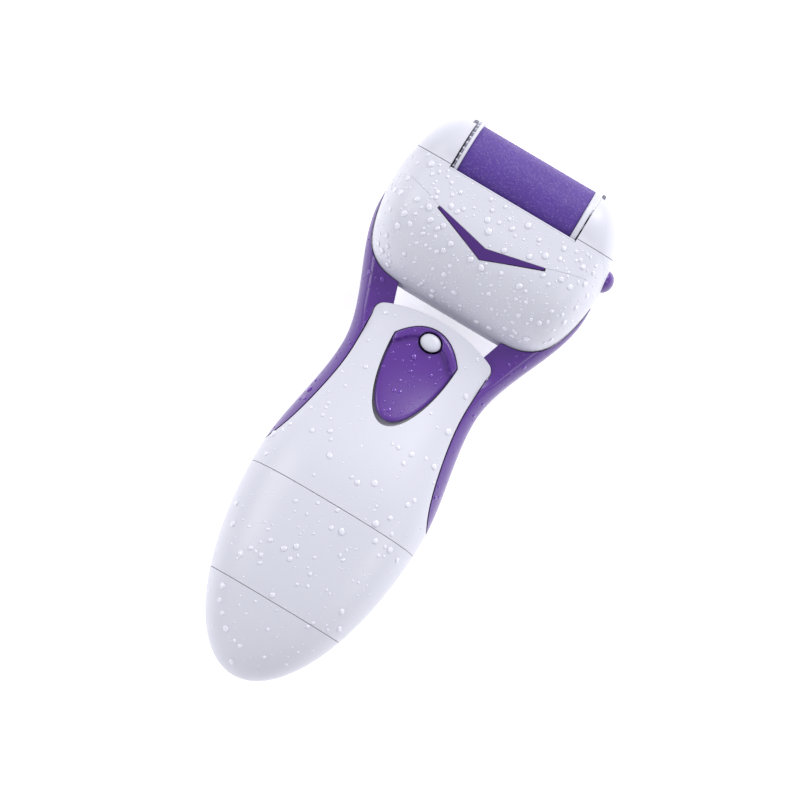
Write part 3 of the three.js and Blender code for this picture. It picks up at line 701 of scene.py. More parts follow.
def metal(name, colour, roughness, brushed_mm):
    """Drawn or stamped metal with fine lines and dull patches."""
    finish = Finish(name)
    lines = finish.noise(brushed_mm, 4, 0.7)
    dull = finish.noise(6, 3)
    dark = tuple(part * 0.72 for part in colour[:3]) + (1.0,)
    return finish.done(
        Base_Color=finish.mix(dull.over(0.55, 0.3), colour, dark),
        Metallic=1.0,
        Roughness=roughness + (lines - 0.5) * 0.2 + dull * 0.08,
        Normal=finish.bump(lines, 0.01),
    )


def cell_wrap(name, body, band, band_y):
    """A battery's printed wrap: two plain colour zones with a fine seam and scuffs."""
    finish = Finish(name)
    axes = finish.node("ShaderNodeSeparateXYZ", {}, {0: finish.place}, output=1)
    zone = axes.over(band_y * MM, 0.0002)
    scuff = finish.noise(1.2, 5)
    return finish.done(
        Base_Color=finish.mix(zone, band, body),
        Roughness=0.24 + scuff * 0.2,
        Metallic=0.35,
        Normal=finish.bump(scuff, 0.01),
    )


def water(name, colour):
    """Water beads: wet gloss over a colour painted lighter than the plastic under them, with paler
    ripples, all painted highlight.
    """
    finish = Finish(name)
    ripple = finish.noise(0.8, 2)
    # paler ripples over the beads: painted highlight
    highlight_tint = tuple(min(1.0, part * 1.12) for part in colour[:3]) + (1.0,)
    return finish.done(
        Base_Color=finish.mix(ripple, colour, highlight_tint),
        Roughness=0.06 + ripple * 0.05,
        Normal=finish.bump(ripple, 0.004),
        Coat_Weight=1.0,
        Coat_Roughness=0.03,
        IOR=1.4,
    )


FINISHES = {}


def make_finishes(colours):
    """Every finish of the device, once."""
    white = tuple(colours.white) + (1.0,)
    purple = tuple(colours.purple) + (1.0,)
    grit = tuple(colours.roller) + (1.0,)

    def darker(colour, share):
        """A colour scaled towards black, or past itself when the share is above 1."""
        return tuple(part * share for part in colour[:3]) + (1.0,)

    FINISHES.update({
        "white_plastic": moulded("white shell plastic", white, darker(white, 0.965), 0.36),
        "purple_plastic": moulded("purple shell plastic", purple, darker(purple, 0.86), 0.3,
                                  coat=0.25),
        "inlay": moulded("purple inlay plastic", darker(purple, 0.72), darker(purple, 0.6), 0.3,
                         edge_mm=0.12),
        "grey_plastic": moulded("grey recess plastic", linear(168, 166, 172),
                                linear(150, 148, 156), 0.5),
        "black_plastic": moulded("black inner plastic", linear(34, 34, 38),
                                 linear(26, 26, 29), 0.5),
        "nylon": moulded("natural nylon", linear(232, 227, 212), linear(220, 213, 196), 0.45),
        # the grit's darker copy carries random tone and painted shade in the pits; the pale colour
        # is the painted glint
        "grit": gritty("bonded abrasive", grit, darker(grit, 0.55), linear(196, 170, 222)),
        "steel": metal("drawn steel", linear(186, 189, 195), 0.28, 0.3),
        "brass": metal("spring brass", linear(206, 168, 86), 0.3, 0.35),
        "cell_jacket": cell_wrap("cell wrap", linear(36, 41, 49), linear(196, 150, 62), -24.0),
        "red_wire": moulded("red wire sleeve", linear(176, 36, 40), linear(150, 28, 32), 0.5,
                            edge_mm=0.05),
        "board": moulded("green circuit board", linear(28, 102, 58), linear(20, 84, 46), 0.42,
                         edge_mm=0.05, coat=0.4),
        # the beads take the plastic's colour made lighter: painted highlight for the light they
        # catch
        "water": water("water beads on white", tuple(min(1.0, part * 1.08) for part in white)),
        "purple_water": water("water beads on purple", darker(purple, 1.25)),
    })


# ------------------------------------------------------------------ settings
class CallusRemoverColours(bpy.types.PropertyGroup):
    """Colours of the visible finishes."""

    white: FloatVectorProperty(
        name="Shell white", description="Colour of the white shells", subtype="COLOR", size=3,
        min=0.0, max=1.0, default=linear(214, 214, 226)[:3],
    )
    purple: FloatVectorProperty(
        name="Shell purple", description="Colour of the yoke, slider and button",
        subtype="COLOR", size=3, min=0.0, max=1.0, default=linear(92, 50, 146)[:3],
    )
    roller: FloatVectorProperty(
        name="Roller purple", description="Colour of the abrasive sleeve", subtype="COLOR",
        size=3, min=0.0, max=1.0, default=linear(88, 54, 158)[:3],
    )


class CallusRemoverSizes(bpy.types.PropertyGroup):
    """Sizes of the visible detail."""

    grain: FloatProperty(
        name="Abrasive grain", description="How far the grains stand up", unit="LENGTH",
        min=0.0, max=0.0003, precision=6, default=0.00007,
    )
    slider_scoop: FloatProperty(
        name="Slider scoop", description="Depth of the thumb pad below the slider's rim",
        unit="LENGTH", min=0.0, max=0.0025, precision=5, default=0.0017,
    )
    slider_rim: FloatProperty(
        name="Slider rim", description="Width of the rim along the slider's upper edge",
        unit="LENGTH", min=0.0005, max=0.004, precision=5, default=0.0026,
    )
    beads: IntProperty(
        name="Water beads", description="How many water beads lie on the shells", min=0,
        max=1500, default=1050,
    )
    bead_radius: FloatProperty(
        name="Largest bead", description="Radius of the largest water bead", unit="LENGTH",
        min=0.0002, max=0.003, precision=5, default=0.00105,
    )


class CallusRemoverStage(bpy.types.PropertyGroup):
    """Camera and light."""

    distance: FloatProperty(
        name="Camera distance", description="From the camera to its aim", unit="LENGTH",
        min=0.2, max=3.0, default=0.6,
    )
    lens: FloatProperty(
        name="Lens", description="Focal length in millimetres", min=20.0, max=300.0,
        default=94.07,
    )
    roll: FloatProperty(
        name="Roll", description="Turn of the camera about its own axis", subtype="ANGLE",
        default=math.radians(31.06),
    )
    pitch: FloatProperty(
        name="Pitch", description="Lean of the camera towards the tail", subtype="ANGLE",
        default=math.radians(7.71),
    )
    yaw: FloatProperty(
        name="Yaw", description="Lean of the camera to the right", subtype="ANGLE",
        default=math.radians(1.68),
    )
    key: FloatProperty(
        name="Key light", description="Power of the large soft light", unit="POWER",
        min=0.0, max=200.0, default=9.0,
    )
    sky: FloatProperty(
        name="Surround", description="Brightness of the even surround light", min=0.0, max=3.0,
        default=0.5,
    )


# ------------------------------------------------------------------ operators
class CALLUS_OT_finishes(bpy.types.Operator):
    """Makes the materials and puts them on the inner parts"""

    bl_idname = "callus.finishes"
    bl_label = "Finishes"

    def execute(self, context):
        make_finishes(context.scene.callus_colours)
        slots = {
            "steel": (
                "lock_spring", "negative_spring", "roller_axle", "gear_pin", "motor_shaft",
                "motor_can", "motor_bracket", "release_spring", "left_handle_screw",
                "right_handle_screw", "left_arm_screw", "right_arm_screw",
            ),
            "brass": ("positive_contact", "bridge_contact", "motor_pinion"),
            "nylon": ("switch_lever", "roller_core", "two_step_gear", "release_latch"),
            "black_plastic": (
                "slide_switch_body", "battery_cradle", "motor_end_cap", "black_lead",
            ),
            "grey_plastic": ("cap_snap_collar",),
            "cell_jacket": ("left_cell", "right_cell"),
            "red_wire": ("red_lead",),
            "board": ("circuit_board",),
        }
        for slot, names in slots.items():
            for name in names:
                for material_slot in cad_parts[name].material_slots:
                    material_slot.material = FINISHES[slot]
        return {"FINISHED"}


class CALLUS_OT_handle(bpy.types.Operator):
    """Builds the plate, the battery cover, the back shell and the tail cap"""

    bl_idname = "callus.handle"
    bl_label = "Handle shells"

    def execute(self, context):
        outside = common(handle_form(0), above(0))
        inside = common(handle_form(WALL, NECK_Y - WALL), above(WALL))
        shell = cut(outside, inside)
        core = handle_form(1.1)
        plan = raised(plate_outline(0), HANDLE_AXIS_Z - 12, FAR)

        plate = common(shell, above(HANDLE_AXIS_Z + GAP / 2), plan)
        for place in SCREW_PLACES:
            boss = common(bar_z(3, HANDLE_AXIS_Z + 1.5, 40, place), core)
            plate = cut(join(plate, boss), bar_z(1.3, 0, 22, place))
        opening = raised(shield(GAP, SLIDER_TRAVEL), 18, FAR)
        make_piece("neck_plate_shell", cut(plate, opening), "case", "white_plastic",
                   "neck_front_plate")

        cover = common(
            shell, above(HANDLE_AXIS_Z + GAP / 2),
            between(LOWER_SEAM_Y + SEAM / 2, UPPER_SEAM_Y - SEAM),
        )
        make_piece("battery_cover_shell", cover, "case", "white_plastic", "battery_bay_cover")

        tail = common(shell, between(-FAR, LOWER_SEAM_Y - SEAM / 2))
        make_piece("tail_cap_shell", tail, "cap", "white_plastic", "tail_cap")

        back = common(shell, below(HANDLE_AXIS_Z - GAP / 2), between(LOWER_SEAM_Y + SEAM / 2, FAR))
        beside_plate = cut(
            block(-FAR, STRIP_TIP_Y, 0, FAR, FAR, FAR), raised(plate_outline(0), -5, FAR + 5),
        )
        arm_room = common(stretched(strip_side(-GAP), -FAR, FAR), beside_plate)
        for place in SCREW_PLACES:
            boss = common(bar_z(3.8, 1, HANDLE_AXIS_Z - 2, place), core)
            back = cut(
                join(back, boss), bar_z(1.4, -1, 30, place), bar_z(2.4, -1, SCREW_SEAT_Z, place),
            )
        neck_end = cut(
            block(-FAR, 24, -FAR, FAR, FAR, FAR), raised(plate_outline(0), -FAR - 5, FAR + 5),
        )
        make_piece("back_shell", cut(back, arm_room, neck_end), "case", "white_plastic",
                   "handle_back_shell")
        return {"FINISHED"}


class CALLUS_OT_yoke(bpy.types.Operator):
    """Builds the two purple arms that hold the head"""

    bl_idname = "callus.yoke"
    bl_label = "Yoke arms"

    def execute(self, context):
        start = STRIP_TIP_Y - 2
        rows = 110
        form = loft([yoke_ring(start + (ARM_END_Y - start) * i / rows) for i in range(rows + 1)])
        yoke = cut(
            common(form, stretched(strip_side(0), -FAR, FAR)),
            raised(plate_outline(GAP), -1, FAR), head_form(-GAP),
        )
        for side, name in ((-1, "left"), (1, "right")):
            room = raised([(side * x, y) for x, y in ARM_OUTLINE], 0, 60)
            make_piece(name + "_arm_shell", common(yoke, room), "case", "purple_plastic",
                       name + "_yoke_arm")
        return {"FINISHED"}


def shield(grow, foot):
    """Plan outline of the slider, grown on all sides and lengthened at the foot."""
    top, half = SLIDER_TOP_Y, SLIDER_HALF
    foot_y = top - SLIDER_LENGTH - foot - grow
    corner = (half + grow, top - SLIDER_SHOULDER)
    crown = (0.0, top + 1 + grow)
    arch = bezier((crown, (half * 0.55, crown[1]), corner), 22)
    side = bezier((corner, (half + grow, top - 16), (6 + grow, foot_y), (0.0, foot_y)), 40)
    right = arch + side[1:]
    return right + [(-x, y) for x, y in right[-2:0:-1]]


def bezier(points, steps):
    """Points along a Bezier curve of any degree."""
    curve = []
    for t in np.linspace(0, 1, steps):
        level = [np.array(point, float) for point in points]
        while len(level) > 1:
            level = [(1 - t) * a + t * b for a, b in zip(level, level[1:])]
        curve.append(tuple(level[0]))
    return curve


def pad(outline, hole, height, floor, roll, spacing):
    """A solid with a shaped top and underside, rounded over along its outline, with a hole."""
    loops = [np.array(outline), np.array(hole)]
    steps = [0.0, 0.08, 0.25, 0.5, 0.75, 1.0]
    points, edges, drops = [], [], []
    for number, loop in enumerate(loops):
        ahead = np.roll(loop, -1, axis=0) - np.roll(loop, 1, axis=0)
        ahead /= np.linalg.norm(ahead, axis=1)[:, None]
        inward = np.column_stack((-ahead[:, 1], ahead[:, 0]))
        after = np.roll(loop, -1, axis=0)
        area = 0.5 * np.sum(loop[:, 0] * after[:, 1] - loop[:, 1] * after[:, 0])
        if (area < 0) != (number > 0):
            inward = -inward
        reach = roll if number == 0 else 0.35
        for share in steps:
            first = len(points)
            for place in loop + inward * reach * share:
                points.append(tuple(place))
                drops.append(reach * (1 - math.sqrt(1 - (1 - share) ** 2)))
            if share == 0:
                edges += [(first + i, first + (i + 1) % len(loop)) for i in range(len(loop))]
    rims = np.vstack(loops)
    low, high = rims.min(axis=0), rims.max(axis=0)
    for row, y in enumerate(np.arange(low[1], high[1], spacing * 0.87)):
        for x in np.arange(low[0] + (row % 2) * spacing / 2, high[0], spacing):
            away = np.hypot(*(loops[0] - (x, y)).T).min()
            clear = np.hypot(*(loops[1] - (x, y)).T).min() > 0.65
            if away > roll + 0.3 and clear and inside_rims(loops, x, y):
                points.append((x, y))
                drops.append(0.0)
    flat, _, faces, source, _, _ = delaunay_2d_cdt(
        [Vector(point) for point in points], edges, [], 0, 1e-7,
    )
    faces = [face for face in faces if inside_rims(loops, *centre_of(flat, face))]
    top = []
    for place, made_from in zip(flat, source):
        top.append((place.x, place.y, height(place.x, place.y) - drops[made_from[0]]))
    count = len(top)
    under = [(x, y, floor(x, y)) for x, y, _ in top]
    sides = {}
    for face in faces:
        for a, b in zip(face, face[1:] + face[:1]):
            sides[(a, b)] = (b, a) not in sides
            if (b, a) in sides:
                sides[(b, a)] = False
    # a wall runs against the edge of the top face it meets, or the solid won't join
    walls = [(b, a, a + count, b + count) for (a, b), rim in sides.items() if rim]
    all_faces = [tuple(face) for face in faces] + walls \
        + [tuple(i + count for i in reversed(face)) for face in faces]
    return face_out(np.array(top + under), [tuple(face) for face in all_faces])


def inside_rims(loops, x, y):
    """Whether a point lies inside the outline and outside the hole."""
    return within(loops[0], x, y) and not within(loops[1], x, y)


def centre_of(flat, face):
    """Middle of a flat face."""
    middle = sum((flat[i] for i in face), Vector((0, 0))) / len(face)
    return middle.x, middle.y


def within(loop, x, y):
    """Whether a point lies inside a closed outline."""
    after = np.roll(loop, -1, axis=0)
    crosses = (loop[:, 1] > y) != (after[:, 1] > y)
    run = after[:, 1] - loop[:, 1]
    run[run == 0] = 1e-12
    where = loop[:, 0] + (y - loop[:, 1]) * (after[:, 0] - loop[:, 0]) / run
    return bool(np.count_nonzero(crosses & (where > x)) % 2)


class CALLUS_OT_switch(bpy.types.Operator):
    """Builds the switch slider, its grey recess and the lock button"""

    bl_idname = "callus.switch"
    bl_label = "Switch"

    def execute(self, context):
        sizes = context.scene.callus_sizes
        scoop = sizes.slider_scoop / MM
        rim = sizes.slider_rim / MM
        arch = np.array(bezier((
            (-SLIDER_HALF, SLIDER_TOP_Y - SLIDER_SHOULDER),
            (-SLIDER_HALF * 0.55, SLIDER_TOP_Y + 1),
            (0, SLIDER_TOP_Y + 1), (SLIDER_HALF * 0.55, SLIDER_TOP_Y + 1),
            (SLIDER_HALF, SLIDER_TOP_Y - SLIDER_SHOULDER),
        ), 60))
        arch[:, 1] = [max(y, 0) for y in arch[:, 1]]

        def height(x, y):
            away = float(np.hypot(*(arch - (x, y)).T).min())
            dip = float(smooth((away - rim * 0.74) / (rim * 0.32)))
            fade = float(smooth((y + 4) / 24))
            return front_z(x, y) + SLIDER_RISE - scoop * dip * (0.3 + 0.7 * fade)

        hole = circle(3.3, 48, 1.08, 0.9) + (0, LOCK_Y)
        slider = pad(
            shield(0, 0), hole, height, lambda x, y: front_z(x, y) - SLIDER_UNDERSIDE, 1.0, 0.5,
        )
        stem = block(-1.6, 5, 22.2, 1.6, 9, front_z(0, 7) - 1.1)
        make_piece("switch_slider_cap", join(slider, stem), "slider", "purple_plastic",
                   "switch_slider", sharp=50)

        lift = front_z(0, LOCK_Y) + LOCK_LIFT
        profile = []
        for turn in np.linspace(-88, 88, 25):
            flat, up = math.cos(math.radians(turn)), math.sin(math.radians(turn))
            profile.append((flat**0.8, math.copysign(abs(up) ** 0.9, up)))
        rings = [(0, LOCK_Y, lift - LOCK_HALF_HEIGHT)]
        for share, up in profile:
            oval = circle(1.0, 56, 3.1 * share, 2.5 * share)
            level = np.full(56, lift + LOCK_HALF_HEIGHT * up)
            rings.append(np.column_stack((oval + (0, LOCK_Y), level)))
        rings.append((0, LOCK_Y, lift + LOCK_HALF_HEIGHT))
        make_piece("lock_button_cap", loft(rings), "lock", "white_plastic", "lock_button")

        lip = common(raised(shield(2.2, SLIDER_TRAVEL + 1), 22.6, 40), handle_form(WALL + 0.15))
        rim_solid = common(raised(shield(0.1, SLIDER_TRAVEL), 20.8, 40), handle_form(1.9))
        recess = join(lip, rim_solid)
        recess = cut(
            recess, block(-2, 3, 10, 2, 9.5, 40), bar_z(LOCK_ROOM, 10, 40, (0, LOCK_Y)),
            bar_z(LOCK_ROOM, 10, 40, (0, LOCK_Y - SLIDER_TRAVEL)),
            *(bar_z(3 + GAP, 0, 40, place) for place in SCREW_PLACES),
        )
        make_piece("switch_recess", recess, "case", "grey_plastic", "switch_bezel")
        return {"FINISHED"}


class CALLUS_OT_head(bpy.types.Operator):
    """Builds the head housing, its ear caps, the back housing and the chevron"""

    bl_idname = "callus.head"
    bl_label = "Head"

    def execute(self, context):
        outside = head_form(0)
        inside = head_form(WALL)
        bay_end = BAY_HALF + BAY_WALL
        bay = common(bar_x(BAY_RADIUS + BAY_WALL, -bay_end, bay_end, ROLLER_AXIS, 128), outside)
        mouth = side_slab(0, -60, 60, 60, BAY_HALF)
        slots = side_slab(-AXLE_ROOM, -AXLE_ROOM, 60, AXLE_ROOM, BAY_HALF + 1.1)
        end_wall = common(side_slab(-END_WALL, -60, -0.05, 0, bay_end), head_form(0.5))
        shell = cut(
            join(cut(outside, inside), bay, end_wall),
            bar_x(BAY_RADIUS, -BAY_HALF, BAY_HALF, ROLLER_AXIS, 128), mouth, slots,
        )
        button_room = bar_x(1, 24, 60, (BUTTON_Y, BUTTON_Z), 56, 3.75, 5.3)
        chevron_room = cut(raised(grown_chevron(), 20, 60), head_form(1.5))
        gear_room = bar_x(GEAR_MODULE * 8.75 + GAP, -BAY_HALF - 0.25, -19.2, GEAR_AXIS)
        hub_room = bar_x(2.5 + GAP, -24, -20, GEAR_AXIS)
        front = common(shell, above(PARTING_Z + GAP / 2))
        ears = []
        for side in (-1, 1):
            beside = [side * (BAY_HALF - GAP), side * FAR]
            room = common(ear_zone(SEAM), block(min(beside), 0, -1, max(beside), FAR, FAR))
            front = cut(front, room)
            edge = [side * (BAY_HALF + 0.02), side * FAR]
            ears.append(common(
                shell, ear_zone(0), block(min(edge), 0, -1, max(edge), FAR, FAR),
                above(PARTING_Z + GAP / 2),
            ))
        front = join(front, bar_x(LIP_RADIUS, -BAY_HALF + 0.2, BAY_HALF - 0.2, LIP, 24))
        front = cut(front, chevron_room, gear_room, hub_room, button_room)
        for side in (-1, 1):
            front = cut(front, crease(side))
        make_piece("head_front_shell", front, "case", "white_plastic", "head_front_housing")
        for name, ear in zip(("left", "right"), ears):
            make_piece(name + "_ear_shell", ear, "case", "white_plastic", name + "_ear_cap")
        back = cut(common(shell, below(PARTING_Z - GAP / 2)), button_room)
        make_piece("head_back_shell", back, "case", "white_plastic", "head_back_housing")

        inlay = cut(common(raised(CHEVRON, 20, 60), head_form(-0.12)), head_form(1.2))
        make_piece("chevron_strip", inlay, "case", "purple_plastic", "chevron_inlay", "inlay")
        return {"FINISHED"}


def crease(side):
    """A hairline crease that runs on from the chevron's tip."""
    (x0, y0), (x1, y1) = CREASE
    corners = ((x0, y0), (x1, y1), (x1, y1 + CREASE_WIDTH), (x0, y0 + CREASE_WIDTH))
    return cut(raised([(side * x, y) for x, y in corners], 20, 60), head_form(CREASE_DEPTH))


def grown_chevron():
    """The chevron's outline with clearance all round."""
    lifts = (-GAP, -GAP, GAP, GAP, GAP, -GAP)
    return [
        (x + (x > 0) * 0.5 - (x < 0) * 0.5, y + lift * 0.5)
        for (x, y), lift in zip(CHEVRON, lifts)
    ]


class CALLUS_OT_roller(bpy.types.Operator):
    """Builds the abrasive sleeve and the roller's toothed and plain ends"""

    bl_idname = "callus.roller"
    bl_label = "Roller"

    def execute(self, context):
        grain = context.scene.callus_sizes.grain / MM
        dice = random.Random(7)
        edge = 0.35
        end = SLEEVE_HALF - edge
        brink = (SLEEVE_HALF - edge * 0.3, SLEEVE_RADIUS - edge * 0.3)
        profile = [(-SLEEVE_HALF, SLEEVE_BORE), (SLEEVE_HALF, SLEEVE_BORE)]
        profile += [(SLEEVE_HALF, SLEEVE_RADIUS - edge), brink]
        profile += [(x, SLEEVE_RADIUS) for x in np.linspace(end, -end, 110)]
        profile += [(-brink[0], brink[1]), (-SLEEVE_HALF, SLEEVE_RADIUS - edge)]
        points, faces = revolved(profile, ROLLER_AXIS, 220)
        spoke = points[:, 1:] - ROLLER_AXIS
        radius = np.hypot(*spoke.T)
        outer = radius > SLEEVE_RADIUS - 0.01
        push = np.array([dice.uniform(-1.0, 0.0) for _ in range(len(points))])
        scale = 1 + np.where(outer, push * grain * 2, 0) / radius
        points[:, 1:] = ROLLER_AXIS + spoke * scale[:, None]
        make_piece("abrasive_sleeve_grit", (points, faces), "roller", "grit",
                   "abrasive_sleeve", sharp=80)

        soft = 0.2
        inner = SLEEVE_HALF + 0.05
        for side, outer_x in ((-1, 19.5), (1, 20.2)):
            ring = [
                (side * inner, FLANGE_BORE), (side * inner, FLANGE_RADIUS - soft),
                (side * (inner + soft), FLANGE_RADIUS), (side * (outer_x - soft), FLANGE_RADIUS),
                (side * outer_x, FLANGE_RADIUS - soft), (side * outer_x, FLANGE_BORE),
            ]
            disc = revolved(ring, ROLLER_AXIS, 128)
            if side < 0:
                disc = join(disc, cut(
                    ring_gear(), bar_x(FLANGE_BORE, -30, -10, ROLLER_AXIS),
                ))
            name = "drive" if side < 0 else "idle"
            make_piece("roller_" + name + "_flange", disc, "roller", "white_plastic",
                       "roller_" + name + "_end")
        return {"FINISHED"}


def ring_gear():
    """The roller's ring of teeth; one tooth points at the two-step gear."""
    pitch = GEAR_MODULE * RING_TEETH / 2
    root, tip = pitch - GEAR_MODULE * 1.15, pitch + GEAR_MODULE * 0.75
    toward = math.atan2(*(GEAR_AXIS - ROLLER_AXIS)[::-1])
    step = 2 * math.pi / RING_TEETH
    outline = []
    for tooth in range(RING_TEETH):
        for radius, share in ((root, -0.24), (tip, -0.1), (tip, 0.1), (root, 0.24)):
            turn = toward + (tooth + share) * step
            outline.append(ROLLER_AXIS + radius * np.array((math.cos(turn), math.sin(turn))))
    return stretched(outline, -20.2, -19.25)


class CALLUS_OT_release(bpy.types.Operator):
    """Builds the release button, its spring and the motor shaft"""

    bl_idname = "callus.release"
    bl_label = "Release button"

    def execute(self, context):
        rings = [(26.5, BUTTON_Y, BUTTON_Z)]
        sides = 56
        for x in (26.5, 30.0):
            rings.append(np.column_stack((
                np.full(sides, x), circle(1.6, sides) + (BUTTON_Y, BUTTON_Z),
            )))
        for turn in np.linspace(-70, 88, 34):
            share, up = math.cos(math.radians(turn)), math.sin(math.radians(turn))
            oval = circle(1.0, sides, 3.45 * share, 5 * share)
            rings.append(np.column_stack((
                np.full(sides, 33.5 + 3.1 * up), oval + (BUTTON_Y, BUTTON_Z),
            )))
        rings.append((36.6, BUTTON_Y, BUTTON_Z))
        make_piece("release_button_cap", loft(rings), "release", "purple_plastic",
                   "release_button", sharp=50)

        centre = np.array((BUTTON_Y, BUTTON_Z))
        rings = []
        for share in np.linspace(0, 1, 121):
            turn = share * SPRING_TURNS * 2 * math.pi
            out = np.array((math.cos(turn), math.sin(turn)))
            wire = circle(SPRING_WIRE, 12)
            middle = SPRING_START + SPRING_WIRE + share * (SPRING_LENGTH - 2 * SPRING_WIRE)
            rings.append(np.column_stack((
                middle + wire[:, 1], centre + np.outer(SPRING_RADIUS + wire[:, 0], out),
            )))
        coil = make_piece("release_spring_coil", loft(rings), "case", "steel",
                          "release_spring", sharp=60)
        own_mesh(coil)

        shaft = [(-26, 0.3), (8, 0.3), (8, 0.85), (7.9, 0.94), (-25.9, 0.94), (-26, 0.85)]
        make_piece("motor_shaft_rod", revolved(shaft, MOTOR_AXIS, 64), "motor_rotor", "steel",
                   "motor_shaft")
        return {"FINISHED"}


class CALLUS_OT_beads(bpy.types.Operator):
    """Scatters small water beads over the front of the shells"""

    bl_idname = "callus.beads"
    bl_label = "Water beads"

    def execute(self, context):
        sizes = context.scene.callus_sizes
        dice = random.Random(41)
        targets = {
            "head_front_shell": ("case", "white_plastic", 0.62),
            "neck_plate_shell": ("case", "white_plastic", 0.1),
            "battery_cover_shell": ("case", "white_plastic", 0.12),
            "tail_cap_shell": ("cap", "white_plastic", 0.05),
            "switch_slider_cap": ("slider", "purple_plastic", 0.05),
            "left_arm_shell": ("case", "purple_plastic", 0.04),
            "right_arm_shell": ("case", "purple_plastic", 0.03),
        }
        for name, (body, slot, share) in targets.items():
            look = FINISHES["water" if slot == "white_plastic" else "purple_water"]
            count = round(sizes.beads * share)
            scatter(name, body, look, count, sizes.bead_radius, dice)
        return {"FINISHED"}


def scatter(name, body, look, count, largest, dice):
    """Beads on one piece, as one mesh of small flattened domes."""
    piece = bpy.data.objects[name]
    mesh = piece.data
    tree = BVHTree.FromPolygons(
        [vertex.co for vertex in mesh.vertices], [polygon.vertices for polygon in mesh.polygons],
    )
    spots = np.array([vertex.co for vertex in mesh.vertices])
    low, high = spots.min(axis=0), spots.max(axis=0)
    kept, points, faces = [], [], []
    tries = 0
    while len(kept) < count and tries < count * 60:
        tries += 1
        x = dice.uniform(low[0], high[0])
        y = low[1] + (high[1] - low[1]) * dice.random() ** (1.5 if "head" in name else 1.0)
        radius = largest * (0.2 + 0.8 * dice.random() ** 3.2)
        spot, normal, _, _ = tree.ray_cast(Vector((x, y, 0.1)), Vector((0, 0, -1)))
        if spot is None or normal.z < 0.25:
            continue
        if any((spot - other).length < (radius + size) * 1.15 for other, size in kept):
            continue
        if not sits_flat(tree, spot, normal, radius):
            continue
        kept.append((spot, radius))
        add_dome(points, faces, spot, normal, radius, dice)
    if not kept:
        return
    beads = bpy.data.meshes.new(name.rsplit("_", 1)[0] + "_beads")
    beads.from_pydata(points, [], faces)
    beads.materials.append(look)
    beads.polygons.foreach_set("use_smooth", [True] * len(beads.polygons))
    shown = bpy.data.objects.new(beads.name, beads)
    bpy.context.scene.collection.objects.link(shown)
    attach(shown, body)


def sits_flat(tree, spot, normal, radius):
    """Whether the surface round a spot carries a bead without an edge under it."""
    side = normal.orthogonal().normalized()
    other = normal.cross(side)
    for turn in range(6):
        angle = turn / 6 * 2 * math.pi
        rim = spot + (side * math.cos(angle) + other * math.sin(angle)) * radius * 1.2
        found, _, _, away = tree.find_nearest(rim)
        if found is None or away > radius * 0.22:
            return False
        hit, _, _, _ = tree.ray_cast(rim + normal * radius, -normal)
        if hit is None or (hit - rim).length > radius * 0.3:
            return False
    return True


def add_dome(points, faces, spot, normal, radius, dice):
    """One bead: a closed flattened dome, its foot just under the surface."""
    side = normal.orthogonal().normalized()
    other = normal.cross(side)
    stretch = dice.uniform(0.85, 1.15)
    height = dice.uniform(0.38, 0.55)
    sides = 14
    start = len(points)
    for share, up in ((0.9, -0.12), (1.0, 0.0), (0.93, 0.4), (0.74, 0.72), (0.42, 0.93)):
        for i in range(sides):
            angle = i / sides * 2 * math.pi
            flat = side * math.cos(angle) * stretch + other * math.sin(angle) / stretch
            points.append(spot + flat * radius * share + normal * radius * height * up)
    rows = 5
    points.append(spot + normal * radius * height)
    points.append(spot - normal * radius * height * 0.12)
    for row in range(rows - 1):
        for i in range(sides):
            j = (i + 1) % sides
            here, there = start + row * sides, start + (row + 1) * sides
            faces.append((here + i, here + j, there + j, there + i))
    last = start + (rows - 1) * sides
    tip, foot = start + rows * sides, start + rows * sides + 1
    for i in range(sides):
        j = (i + 1) % sides
        faces.append((last + i, last + j, tip))
        faces.append((start + j, start + i, foot))


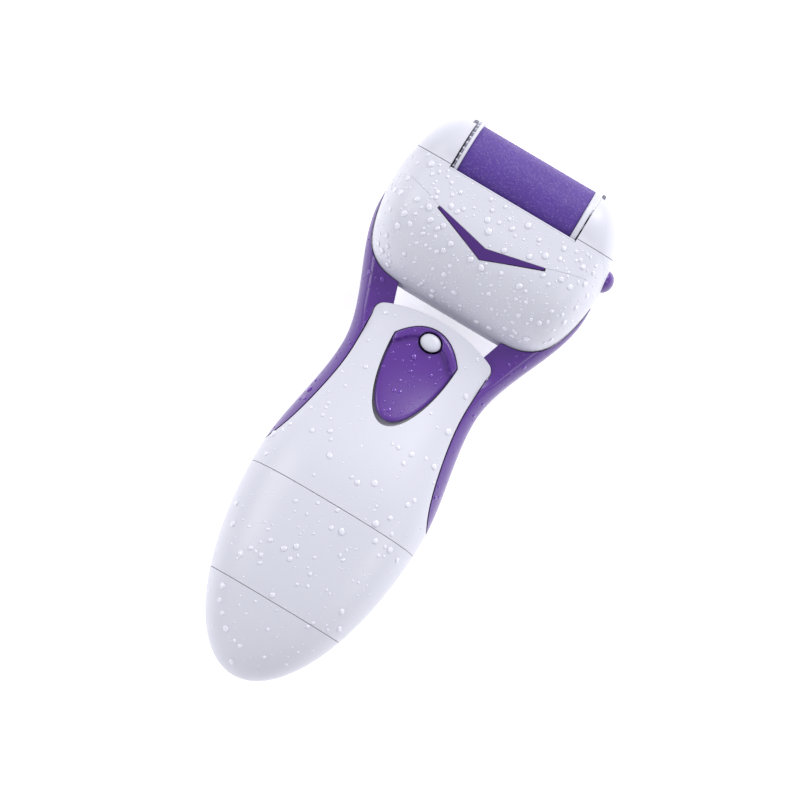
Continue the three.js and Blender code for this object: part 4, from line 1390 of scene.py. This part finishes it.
class CALLUS_OT_stage(bpy.types.Operator):
    """Sets up the floor, the soft studio light and the camera"""

    bl_idname = "callus.stage"
    bl_label = "Stage"

    def execute(self, context):
        scene = context.scene
        settings = scene.callus_stage
        scene.view_settings.view_transform = "Standard"
        aim = Vector((0.00074, 0.00549, 0.022))
        lean = Vector((
            math.sin(settings.yaw) * math.cos(settings.pitch), -math.sin(settings.pitch),
            math.cos(settings.yaw) * math.cos(settings.pitch),
        ))
        right = (-lean).cross(Vector((0, 1, 0))).normalized()
        up = right.cross(-lean)
        cosine, sine = math.cos(settings.roll), math.sin(settings.roll)
        axes = Matrix((right * cosine + up * sine, up * cosine - right * sine, lean)).transposed()
        lens = bpy.data.cameras.new("camera")
        lens.lens = settings.lens
        lens.sensor_width = 36.0
        camera = bpy.data.objects.new("camera", lens)
        camera.matrix_world = Matrix.Translation(aim + lean * settings.distance) @ axes.to_4x4()
        scene.collection.objects.link(camera)
        scene.camera = camera

        world = bpy.data.worlds.new("surround")
        world.use_nodes = True
        backdrop = world.node_tree.nodes["Background"]
        backdrop.inputs["Color"].default_value = (0.96, 0.97, 1.0, 1.0)
        backdrop.inputs["Strength"].default_value = settings.sky
        scene.world = world

        lights = (
            ("key softbox", (0.3, 0.88, 0.7), 0.6, settings.key),
            ("right strip", (0.8, -0.1, 0.55), 0.4, settings.key * 0.14),
            ("left strip", (-0.8, -0.1, 0.6), 0.5, settings.key * 0.34),
            ("tail fill", (-0.3, -0.8, 0.35), 0.5, settings.key * 0.1),
        )
        for name, place, size, power in lights:
            light = bpy.data.lights.new(name, "AREA")
            light.shape = "SQUARE"
            light.size = size
            light.energy = power
            lamp = bpy.data.objects.new(name, light)
            lamp.location = place
            lamp.rotation_euler = (Vector(place) - aim).to_track_quat("Z", "Y").to_euler()
            scene.collection.objects.link(lamp)

        floor = bpy.data.meshes.new("floor")
        floor.from_pydata([(-4, -4, 0), (4, -4, 0), (4, 4, 0), (-4, 4, 0)], [], [(0, 1, 2, 3)])
        paper = Finish("studio floor")
        fibre = paper.noise(3, 4)
        floor.materials.append(paper.done(
            Base_Color=paper.mix(fibre * 0.2, linear(248, 248, 250), linear(243, 243, 247)),
            Roughness=0.75,
            Emission_Color=(1.0, 1.0, 1.0, 1.0),
            Emission_Strength=0.42,
        ))
        ground = bpy.data.objects.new("floor", floor)
        scene.collection.objects.link(ground)
        return {"FINISHED"}


class CALLUS_PT_panel(bpy.types.Panel):
    """Lists the pieces and their settings"""

    bl_idname = "CALLUS_PT_panel"
    bl_label = "Callus Remover"
    bl_space_type = "VIEW_3D"
    bl_region_type = "UI"
    bl_category = "Callus Remover"

    def draw(self, context):
        scene = context.scene
        for group in (scene.callus_colours, scene.callus_sizes, scene.callus_stage):
            box = self.layout.box()
            for name in group.bl_rna.properties.keys():
                if name not in ("rna_type", "name"):
                    box.prop(group, name)
        for operator in OPERATORS:
            self.layout.operator(operator.bl_idname)


GROUPS = {
    "callus_colours": CallusRemoverColours,
    "callus_sizes": CallusRemoverSizes,
    "callus_stage": CallusRemoverStage,
}
OPERATORS = (
    CALLUS_OT_stage, CALLUS_OT_finishes, CALLUS_OT_handle, CALLUS_OT_yoke, CALLUS_OT_switch,
    CALLUS_OT_head, CALLUS_OT_roller, CALLUS_OT_release, CALLUS_OT_beads,
)


def register():
    """Adds the settings, the operators and the panel."""
    for group in GROUPS.values():
        bpy.utils.register_class(group)
    for name, group in GROUPS.items():
        setattr(bpy.types.Scene, name, PointerProperty(type=group))
    for operator in OPERATORS:
        bpy.utils.register_class(operator)
    bpy.utils.register_class(CALLUS_PT_panel)


def unregister():
    """Takes them away again."""
    bpy.utils.unregister_class(CALLUS_PT_panel)
    for operator in reversed(OPERATORS):
        bpy.utils.unregister_class(operator)
    for name in GROUPS:
        delattr(bpy.types.Scene, name)
    for group in GROUPS.values():
        bpy.utils.unregister_class(group)


def main():
    """Builds everything in order."""
    register()
    for operator in OPERATORS:
        getattr(bpy.ops.callus, operator.bl_idname.split(".")[1])()
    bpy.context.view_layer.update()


if __name__ == "__main__":
    main()
